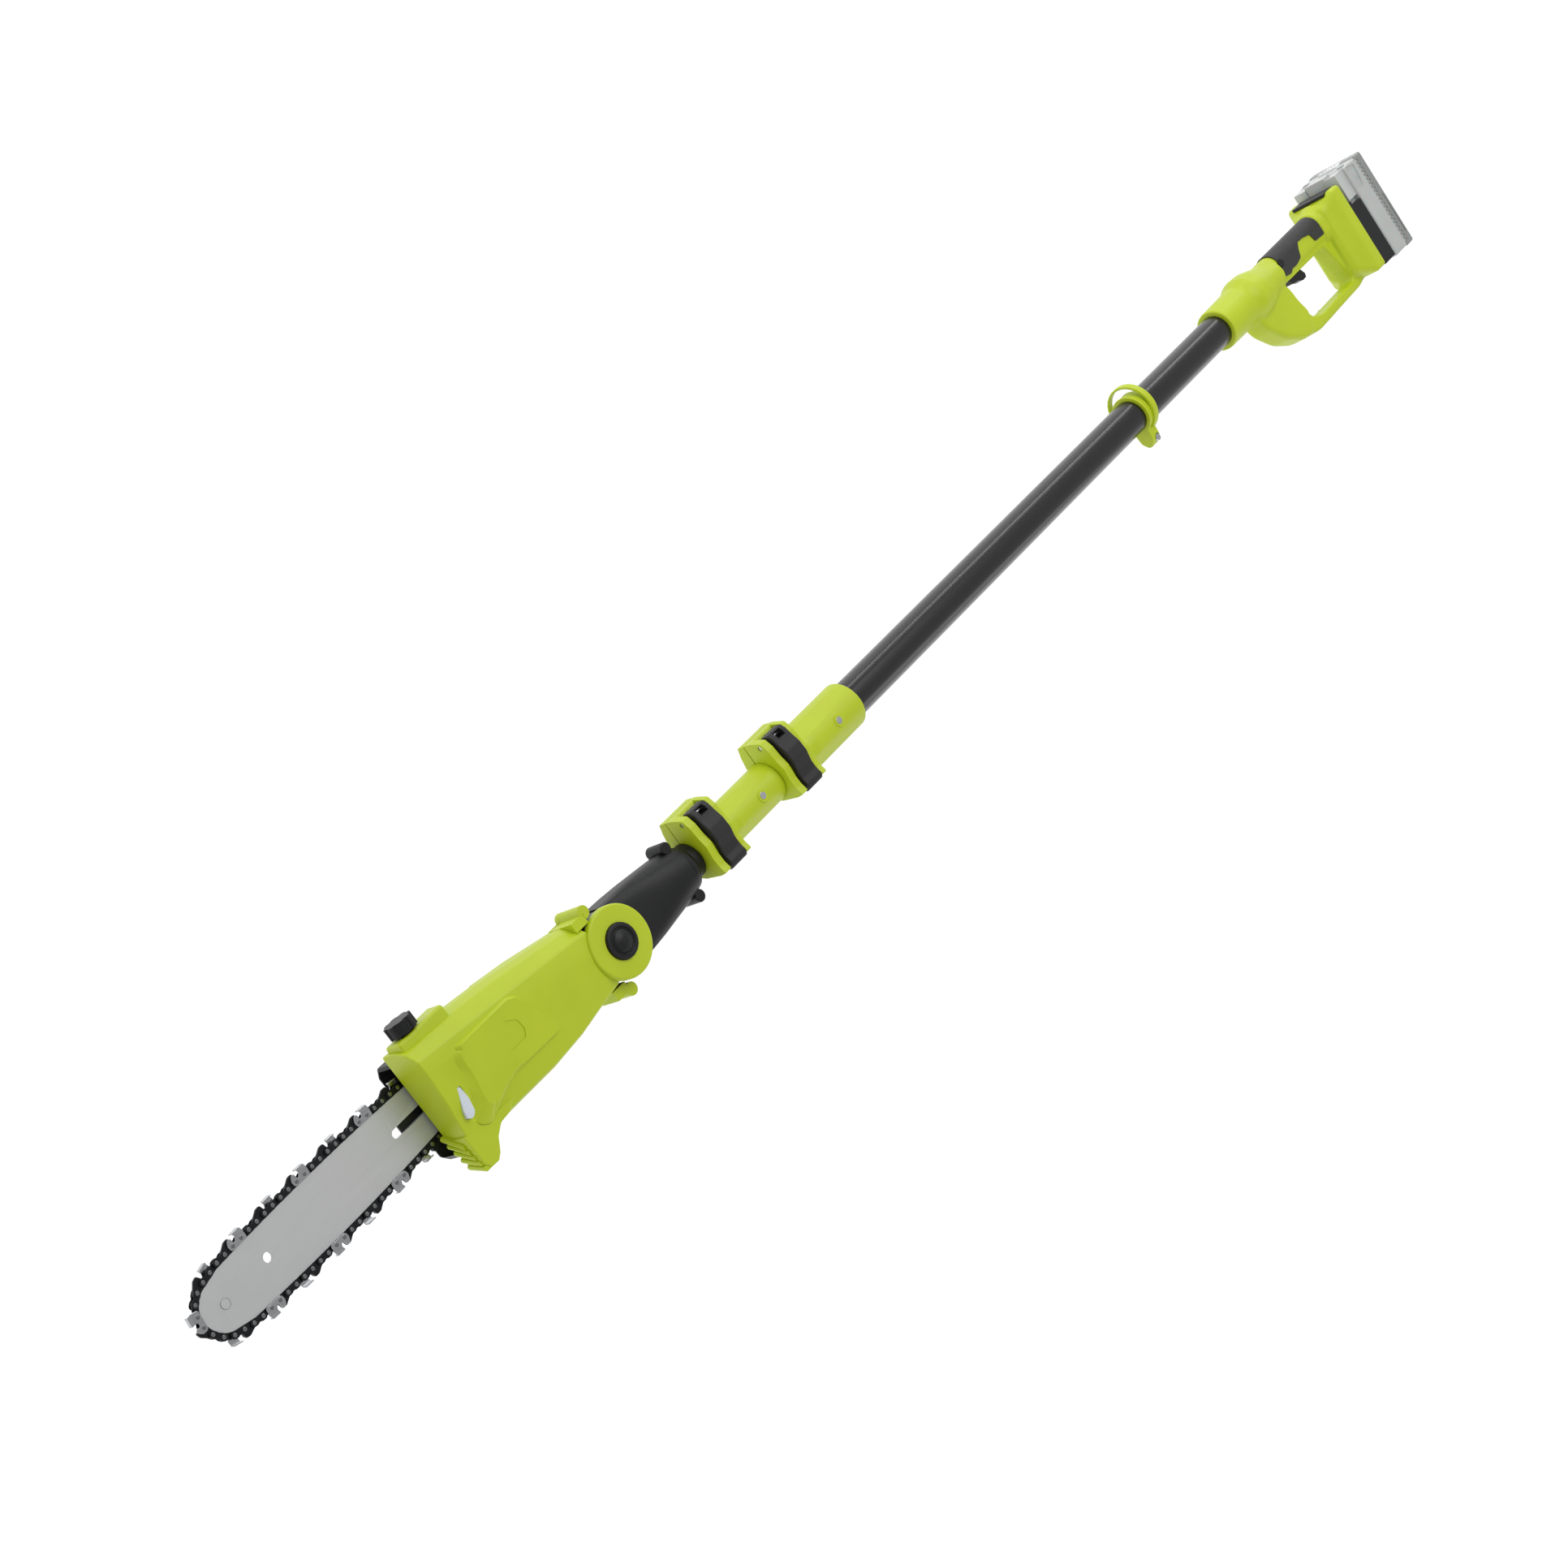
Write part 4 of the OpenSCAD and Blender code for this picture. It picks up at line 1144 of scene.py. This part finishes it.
# %% [markdown]
# ## Saw chain
# One link of each kind is modelled lying at the origin: u along the travel, v away from the bar
# and w across. Each is then copied along the line of rivets. A cutter has a side plate with a
# depth gauge ahead of its gullet and a thin top plate that leans over the chain.

# %% Chain links
CHAIN_W = 3.3
RIVETS = 80
RIVET_LIFT = 3.4
SPROCKET_R = 18
FIRST_RIVET_X = 1008.1


def chain_line():
    """Points of the rivet line: upper edge, nose, lower edge, sprocket, back to the start."""
    line = bar_edge(RIVET_LIFT)
    for i in range(1, 12):
        angle = math.radians(90 + 180 * i / 12)
        along, across = SPROCKET_R * math.cos(angle), SPROCKET_R * math.sin(angle)
        line.append((SHAFT_X + along, BAR_Y + across))
    return [Vector(point) for point in line]


def walk(line, count, start_x):
    """Equally spaced points round a closed line, the first on the upper edge at start_x."""
    closed = line + [line[0]]
    lengths = [(b - a).length for a, b in zip(closed, closed[1:])]
    total = sum(lengths)
    offset = 0.0
    for a, b, length in zip(closed, closed[1:], lengths):
        if a.x <= start_x < b.x and a.y < BAR_Y:
            offset += length * (start_x - a.x) / (b.x - a.x)
            break
        offset += length
    points = []
    for i in range(count):
        target = (offset + i * total / count) % total
        for a, b, length in zip(closed, closed[1:], lengths):
            if target <= length:
                points.append(a.lerp(b, target / length))
                break
            target -= length
    return points, total / count


rivet_places, PITCH = walk(chain_line(), RIVETS, FIRST_RIVET_X)
HALF = PITCH / 2
STRAP = [
    (-HALF - 3.5, -3.2, 3), (-HALF - 3.5, 3.2, 3), (-HALF + 2.5, 3.2, 2), (0, 1.9, 3),
    (HALF - 2.5, 3.2, 2), (HALF + 3.5, 3.2, 3), (HALF + 3.5, -3.2, 3), (HALF - 2.5, -3.2, 2),
    (0, -2.6, 3), (-HALF + 2.5, -3.2, 2),
]
DRIVE = [
    (-HALF - 3.2, 2.6, 2), (-HALF - 3.2, -2.6, 2), (-HALF + 2, -3.4, 0), (-1.5, -7, 1),
    (2.5, -7.4, 1), (HALF - 1, -3.4, 0), (HALF + 3.2, -2.6, 2), (HALF + 3.2, 2.6, 2),
]
BUMPER = [
    (-HALF - 3.2, -2.6, 2), (-HALF + 2, -3.4, 0), (-1.5, -7, 1), (2.5, -7.4, 1),
    (HALF - 1, -3.4, 0), (HALF + 3.2, -2.6, 2), (HALF + 3.8, 1.6, 2), (HALF - 2, 4.4, 3),
    (-HALF + 3.2, 7.2, 2.5), (-HALF - 1.2, 7.4, 1.2), (-HALF - 2.4, 3, 2),
]
CUTTER = [
    (-HALF - 5, -3.2, 2), (-HALF - 5.6, 3.5, 3), (-HALF - 4.4, 8, 1), (-0.6, 8, 0.6),
    (-1.8, 4.6, 2), (0, 1.4, 1.6), (2.2, 1.6, 1.6), (3, 6.8, 1.6), (HALF + 1.5, 6.6, 2.5),
    (HALF + 4, 2.4, 3), (HALF + 3.6, -3.2, 3),
]


def link(name, outline, near, far, bevel):
    shape = plate(name, rounded(outline, step=30), near, far)
    return soften(shape, bevel, 1, 45)


strap_link = link("strap", STRAP, 1.75, 2.95, 0.25)
drive_link = link("drive", DRIVE, -0.65, 0.65, 0.2)
bumper_link = link("bumper", BUMPER, -1.5, 1.5, 0.3)
cutter_link = link("cutter", CUTTER, 1.75, 3.1, 0.25)
TOP_PLATE = [(-HALF - 4.4, -2.3), (-0.4, -2.6), (-0.9, 3.1), (-HALF - 4.2, 3.1)]
top_plate = plate("top", TOP_PLATE, 6.9, 8.1)
top_plate.data.transform(Matrix.Rotation(math.radians(90), 4, "X"))
top_plate.data.transform(Matrix.Scale(-1, 4, (0, 1, 0)))
edit(top_plate)
close_solid(top_plate)
weld(cutter_link, soften(top_plate, 0.25, 1, 45))
rivet_link = rod("rivet", -CHAIN_W, CHAIN_W, 2, (0, 0), Z, 20)
soften(rivet_link, 0.5, 2, 40)
print("link pitch", round(PITCH, 3), "mm; five kinds of link")

# %% [markdown]
# A cutter comes every eight rivets on each side, the two sides half way between each other, and
# the drive link just ahead of every cutter is a bumper.

# %% Chain assembly


def place_link(template, first, second, mirror):
    """A copy of a link whose two rivets sit at two places of the rivet line."""
    twin = copy_of(template, template.name)
    travel = (second - first).normalized()
    middle_at = (first + second) / 2
    frame_of = Matrix((
        (travel.x, travel.y, 0, middle_at.x * MM),
        (travel.y, -travel.x, 0, middle_at.y * MM),
        (0, 0, mirror, BAR_Z * MM),
        (0, 0, 0, 1),
    ))
    twin.data.transform(frame_of)
    if frame_of.to_3x3().determinant() < 0:
        twin.data.flip_normals()
    return twin


straps, cutters, drives, pins = [], [], [], []
for i in range(0, RIVETS, 2):
    here, there = rivet_places[i], rivet_places[i + 1]
    beyond = rivet_places[(i + 2) % RIVETS]
    for side, cutter_turn in ((1, 0), (-1, 4)):
        if i % 8 == cutter_turn:
            cutters.append(place_link(cutter_link, here, there, side))
        else:
            straps.append(place_link(strap_link, here, there, side))
    drives.append(place_link(bumper_link if i % 4 == 0 else drive_link, there, beyond, 1))
    for place in (here, there):
        pins.append(place_link(rivet_link, place - Vector((1, 0)), place + Vector((1, 0)), 1))
for template in (strap_link, drive_link, bumper_link, cutter_link, rivet_link):
    bpy.data.objects.remove(template)
dress(join("tie_straps", straps), "chain_steel", "head", ["saw_chain"])
dress(join("cutters", cutters), "cutter_chrome", "head", ["saw_chain"])
dress(join("drive_links", drives), "chain_steel", "head", ["saw_chain"])
dress(join("chain_rivets", pins), "rivet_steel", "head", ["saw_chain"])

# %% [markdown]
# ## Handle
# A moulded handle has no hard corner between its forms, so they are modelled apart and then
# fused: the turned collar with its swelling, the grip, the loop, the flared rear plate and a
# round collar behind the grip. Remesh joins them to one skin and a few smoothing passes melt
# the creases.

# %% Handle forms
REAR_X = low("handle_shell_left", X)
GRIP_A, GRIP_B = -8, 1.5
GRIP_R, GRIP_WALL = 16, 2.8
VOXEL = 1.6
LOOP = [
    (-578, 16, 6), (-588, 44, 30), (-611, 69, 40), (-640, 84, 40), (-682, 91.5, 60), (-800, 89.5, 9),
    (-818, 86, 0), (-818, 20, 0), (-774, 6, 0), (-655, 6, 0), (-610, -5, 0),
]
LOOP_FRONT = [
    (-578, 16, 6), (-588, 44, 30), (-611, 69, 40), (-640, 84, 30), (-664, 87, 8), (-676, 62, 20),
    (-666, 22, 8), (-655, 4, 0), (-610, -5, 0),
]
HAND_HOLE = [
    (-665, 17, 5), (-667, 44, 30), (-680, 72, 16), (-702, 78.5, 12), (-797, 78, 8), (-778, 18, 8),
]


def stadium(radius):
    low_y, high_y = GRIP_A - radius, GRIP_B + radius
    return rounded([
        (low_y, -radius, radius), (high_y, -radius, radius),
        (high_y, radius, radius), (low_y, radius, radius),
    ], step=9)


def rounded_box(low_y, high_y, half_z, radius):
    return rounded([
        (low_y, -half_z, radius), (high_y, -half_z, radius),
        (high_y, half_z, radius), (low_y, half_z, radius),
    ])


collar = turned("handle_form", rounded([
    (MOUTH_X, 0, 0), (MOUTH_X, 26.5, 1.2), (-578, 27.3, 10), (-593, 32.6, 10), (-611, 31.8, 12),
    (-640, 24.6, 20), (-668, 20.4, 0), (-668, 0, 0)], closed=False), axis=X, steps=96)
front_web = soften(plate("front_web", rounded(LOOP_FRONT), -16, 16), 5, 3, 40)
loop_bar = soften(plate("loop_bar", rounded(LOOP), -12, 12), 3, 3, 40)
grip = plate("grip", stadium(GRIP_R), -801, -650, X)
rear_plate = loft("rear_plate", [
    (REAR_X, rounded_box(-35, 86, 37, 4)), (REAR_X + 18, rounded_box(-35, 86, 37, 5)),
    (REAR_X + 30, rounded_box(-28, 78, 28, 8)), (REAR_X + 38, rounded_box(-25.5, 74, 24, 9)),
    (REAR_X + 43, rounded_box(-23, 70, 18, 9)),
])
grip_collar = loft("grip_collar", [
    (-806, stadium(25)), (-799, stadium(22)), (-792, stadium(20)), (-785.5, stadium(19)),
])
cut(front_web, plate("hole", rounded(HAND_HOLE), -30, 30))
cut(loop_bar, plate("hole", rounded(HAND_HOLE), -30, 30))
whole = join("handle_form", [collar, front_web, loop_bar, grip, rear_plate, grip_collar])
take(whole)
whole.data.remesh_voxel_size = VOXEL * MM
bpy.ops.object.voxel_remesh()
edit(whole)
bpy.ops.mesh.select_all(action="SELECT")
bpy.ops.mesh.vertices_smooth(factor=0.5, repeat=5)
done()
print("handle skin has", len(whole.data.polygons), "faces")

# %% [markdown]
# The fused form is hollowed in one go for the pole, the grip's inside, the electronics behind
# the rear plate, the trigger slot, the screws, the lock button and the black inset, and is then
# parted down the middle into the two shells.

# %% Handle openings and halves
TUBE_END = low("outer_tube", X)
LOCK = (middle("lock_off_button", X), middle("lock_off_button", Y))
LOCK_BORE = 5.4
HANDLE_SCREWS = ((-618, 56), (-648, 71), (-730, 82))
hollow = rod("hollow", TUBE_END, MOUTH_X + 1, POLE_R + 0.05, (0, 0), X, 96)
weld(
    hollow,
    rod("hollow", -660, TUBE_END + 1, 18, (0, 0), X, 64),
    plate("hollow", stadium(GRIP_R - GRIP_WALL), -812, -655, X),
    block("hollow", (REAR_X - 2, -22, -34), (REAR_X + 14, 72, 34)),
    block("hollow", (-724, 0, -7.2), (-676, 24, 7.2)),
    rod("hollow", 0, 40, LOCK_BORE, LOCK),
)
for place in HANDLE_SCREWS:
    weld(hollow, rod("screw", -20, 8, SCREW_BORE, place, Z, 24))
cut(whole, hollow)
cut(whole, block("inset", (REAR_X - 2, -40, -24.2), (REAR_X + 25.8, -32, 27.2)))
left_handle = copy_of(whole, "handle_left")
keep_common(left_handle, block("side", (-900, -90, 0.05), (-400, 150, 90)))
right_handle = keep_common(whole, block("side", (-900, -90, -90), (-400, 150, -0.05)))
right_handle.name = "handle_right"
dress(left_handle, "lime_plastic", "pole", ["handle_shell_left"], smooth=50)
dress(right_handle, "lime_plastic", "pole", ["handle_shell_right"], smooth=50)

# %% [markdown]
# The rubber overmould wraps the back of the grip. Its lower border steps down round the
# trigger finger's place, so the sleeve is a bigger grip form, kept only inside a drawn outline.

# %% Overmould
RUBBER_START, RUBBER_END = -785, -671
BORDER = [
    (RUBBER_START, -40, 0), (RUBBER_START, 5, 3), (-761, 3.5, 3), (-757, -8, 2.5),
    (-741, -11.5, 2), (-727, -12, 2), (-721, -5, 4), (-716, 5, 4), (-703, 8.5, 4), (-690, 8, 2),
    (-687, 12, 2), (RUBBER_END, 9, 2), (RUBBER_END, -40, 0),
]
overmould = plate("grip_rubber", stadium(GRIP_R + 1.45), RUBBER_START, RUBBER_END, X)
keep_common(overmould, plate("border", rounded(BORDER), -40, 40))
cut(overmould, plate("core", stadium(GRIP_R + 0.05), -800, -660, X))
cut(overmould, rod("lock", 0, 40, LOCK_BORE, LOCK))
soften(overmould, 0.5, 2, 50)
dress(overmould, "grip_rubber", "pole", ["grip_overmould"])

# %% [markdown]
# ## Battery
# The case is a rounded box with the rail tongue in front of it. A darker band wraps its rear
# edge. Notches cut along the band's front border leave a row of short ribs, and two small lugs
# stand on the top corners. The charge gauge is a plate with a round button and three lamps.

# %% Battery case
BACK = low("battery_case", X)
TOP = low("battery_case", Y)
BOTTOM = high("battery_case", Y)
SIDE = high("battery_case", Z)
case = block("battery_shell", (BACK + 1, TOP + 1.2, 1.2 - SIDE), (RAIL_X, BOTTOM - 0.6, SIDE - 1.2))
soften(case, 3.4, 4, 40)
weld(case, block("arm", (RAIL_X - 4, TOP + 2, -34), (REAR_X - 8, -6.4, 34)))
weld(case, block("tongue", (RAIL_X - 4, -7, -28), (REAR_X - 8, 74, 28)))
cut(case, block("cells", (BACK + 3, TOP + 4, 3.6 - SIDE), (RAIL_X - 3, BOTTOM - 4, SIDE - 3.6)))
for z in (-14, 0, 14):
    cut(case, block("slot", (REAR_X - 20, 26, z - 2.4), (REAR_X, 80, z + 2.4)))
cut(case, block("latch", (RAIL_X + 2, TOP + 1, -16), (REAR_X - 7, -12, 16)))
RECESS = [(-889, -39, 3), (-868, -43, 3), (-868, -9, 4), (-884, -9, 4)]
scoop = plate("scoop", rounded(RECESS), SIDE - 2.6, SIDE + 5)
cut(case, soften(scoop, 1, 2, 40))
dress(case, "battery_clear", "battery", ["battery_case"])

band = block("battery_band", (BACK, TOP, -SIDE), (BACK + 19, BOTTOM, SIDE))
soften(band, 3, 4, 40)
band_inside = block(
    "inside", (BACK + 2.2, TOP + 2.5, 2.5 - SIDE), (BACK + 24, BOTTOM - 2.5, SIDE - 2.5)
)
cut(band, band_inside)
NOTCHES, NOTCH_PITCH = 21, 6
notches = []
for i in range(NOTCHES):
    y = TOP + 6 + NOTCH_PITCH * i
    for side in (-1, 1):
        low_z, high_z = sorted((side * (SIDE - 1.3), side * (SIDE + 2)))
        notches.append(block("notch", (BACK + 13.4, y, low_z), (BACK + 21, y + 3, high_z)))
cut(band, join("notches", notches))
strip = plate("strip", rounded([(BACK + 5, TOP + 62, 2), (BACK + 9.4, TOP + 62, 2),
                                (BACK + 9.4, BOTTOM - 16, 2), (BACK + 5, BOTTOM - 16, 2)]),
              SIDE - 0.8, SIDE + 3)
cut(band, strip)
for side in (-1, 1):
    lug = block("lug", (RAIL_X - 12, TOP, side * 29 - 4), (RAIL_X - 4, TOP + 3, side * 29 + 4))
    weld(band, soften(lug, 1, 2, 40))
dress(band, "battery_band", "battery", ["battery_case"])

gauge = block("gauge_plate", (BACK + 12, TOP - 0.8, -15), (BACK + 30, TOP + 2, 15))
soften(gauge, 0.4, 2, 40)
dress(gauge, "gauge_white", "battery", ["battery_gauge"])
MARK_X = BACK + 21
marks = [rod("mark", TOP - 1.0, TOP - 0.6, 1.1, (MARK_X, z), Y, 24) for z in (-1, 4, 9)]
test_ring = rod("button", TOP - 1.0, TOP - 0.6, 4, (MARK_X, -8.5), Y, 40)
cut(test_ring, rod("inside", TOP - 2, TOP + 1, 3.2, (MARK_X, -8.5), Y, 40))
gauge_marks = join("gauge_marks", [test_ring, *marks])
dress(gauge_marks, "black_plastic", "battery", ["battery_gauge"])

# %% [markdown]
# ## Small parts straight from the frame
# Screws, pins, gears and other small parts are right as the frame has them. A copy of each is
# merged, its edges are softened by a fraction of a millimetre and it is shaded smooth.

# %% Refined copies


def refined(node, finish):
    twin = copy_of(frame["nodes"][node], node + "_finished")
    body = twin["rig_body"]
    bpy.ops.object.parent_clear(type="CLEAR")
    del twin["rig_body"]
    del twin["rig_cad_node"]
    edit(twin)
    bpy.ops.mesh.select_all(action="SELECT")
    bpy.ops.mesh.remove_doubles(threshold=0.005 * MM)
    bpy.ops.mesh.dissolve_limited(angle_limit=math.radians(1))
    done()
    soften(twin, 0.3, 2)
    return dress(twin, finish, body, [node])


slot_of = {}
for entry in frame["record"]["subparts"]:
    slot_of[entry["node"]] = entry["material_slot"]
made_already = {n for o in bpy.data.objects for n in o.get("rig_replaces", [])}
for node in sorted(set(frame["nodes"]) - made_already):
    refined(node, slot_of[node])

# %% [markdown]
# ## Floor, light and camera
# A plain pale floor carries the saw. A large soft key from above gives the plastics their
# colour, a long box on the trigger's side opens the shadows, and a long narrow strip low on the
# other side draws the bright line along the tubes.

# %% Floor
fresh()
bpy.ops.mesh.primitive_plane_add(size=30, location=(0, 0, FLOOR_Z * MM))
floor = bpy.context.object
floor.name = "floor"
paper = Graph("floor_paper")
paper.bump(paper.noise(60), 0.0002)
paper.shader.inputs["Emission Strength"].default_value = 1.0
floor.data.materials.append(
    paper.surface(
        Base_Color=(0.02, 0.02, 0.02, 1),
        Emission_Color=paper.blend(srgb(254, 254, 254), srgb(255, 255, 255), paper.noise(3)),
        Roughness=0.9 - paper.noise(5) * 0.1,
    )
)

# %% Lights
world = bpy.data.worlds.new("studio")
bpy.context.scene.world = world
world.use_nodes = True
sky = world.node_tree.nodes["Background"]
sky.inputs["Color"].default_value = (1, 1, 1, 1)
sky.inputs["Strength"].default_value = 0.5


def softbox(name, place, target, width, height, power):
    fresh()
    bpy.ops.object.light_add(type="AREA", location=place)
    lamp = bpy.context.object
    lamp.name = name
    lamp.data.shape = "RECTANGLE"
    lamp.data.size = width
    lamp.data.size_y = height
    lamp.data.energy = power
    aim = Vector(target) - Vector(place)
    lamp.rotation_mode = "QUATERNION"
    lamp.rotation_quaternion = aim.to_track_quat("-Z", "X")
    return lamp


softbox("key", (-0.5, -1.3, 2.5), (0, 0, 0), 2.2, 2.2, 36)
softbox("side", (-0.6, 2.4, 0.7), (-0.1, 0, 0), 0.7, 3.6, 9)
softbox("strip", (-1.4, -1.7, 0.48), (-0.2, 0, 0), 0.2, 4.6, 14)

# %% [markdown]
# The camera stands ahead of the saw and above it, so the pole runs away from the bar towards
# the handle. Its place and its two directions are given in the frame.

# %% Camera
CAMERA_PLACE = Vector((2.0137, -0.5279, 1.9543))
CAMERA_LOOK = Vector((-0.61399, 0.21061, -0.76070)).normalized()
CAMERA_UP = Vector((-0.56136, -0.79402, 0.23326))
fresh()
bpy.ops.object.camera_add(location=CAMERA_PLACE)
camera = bpy.context.object
side = CAMERA_LOOK.cross(CAMERA_UP).normalized()
upright = side.cross(CAMERA_LOOK)
turn = Matrix((side, upright, -CAMERA_LOOK)).transposed()
camera.rotation_euler = turn.to_euler()
camera.data.lens = 60
camera.data.sensor_width = 36
camera.data.clip_end = 50
bpy.context.scene.camera = camera
bpy.context.scene.view_settings.view_transform = "Standard"
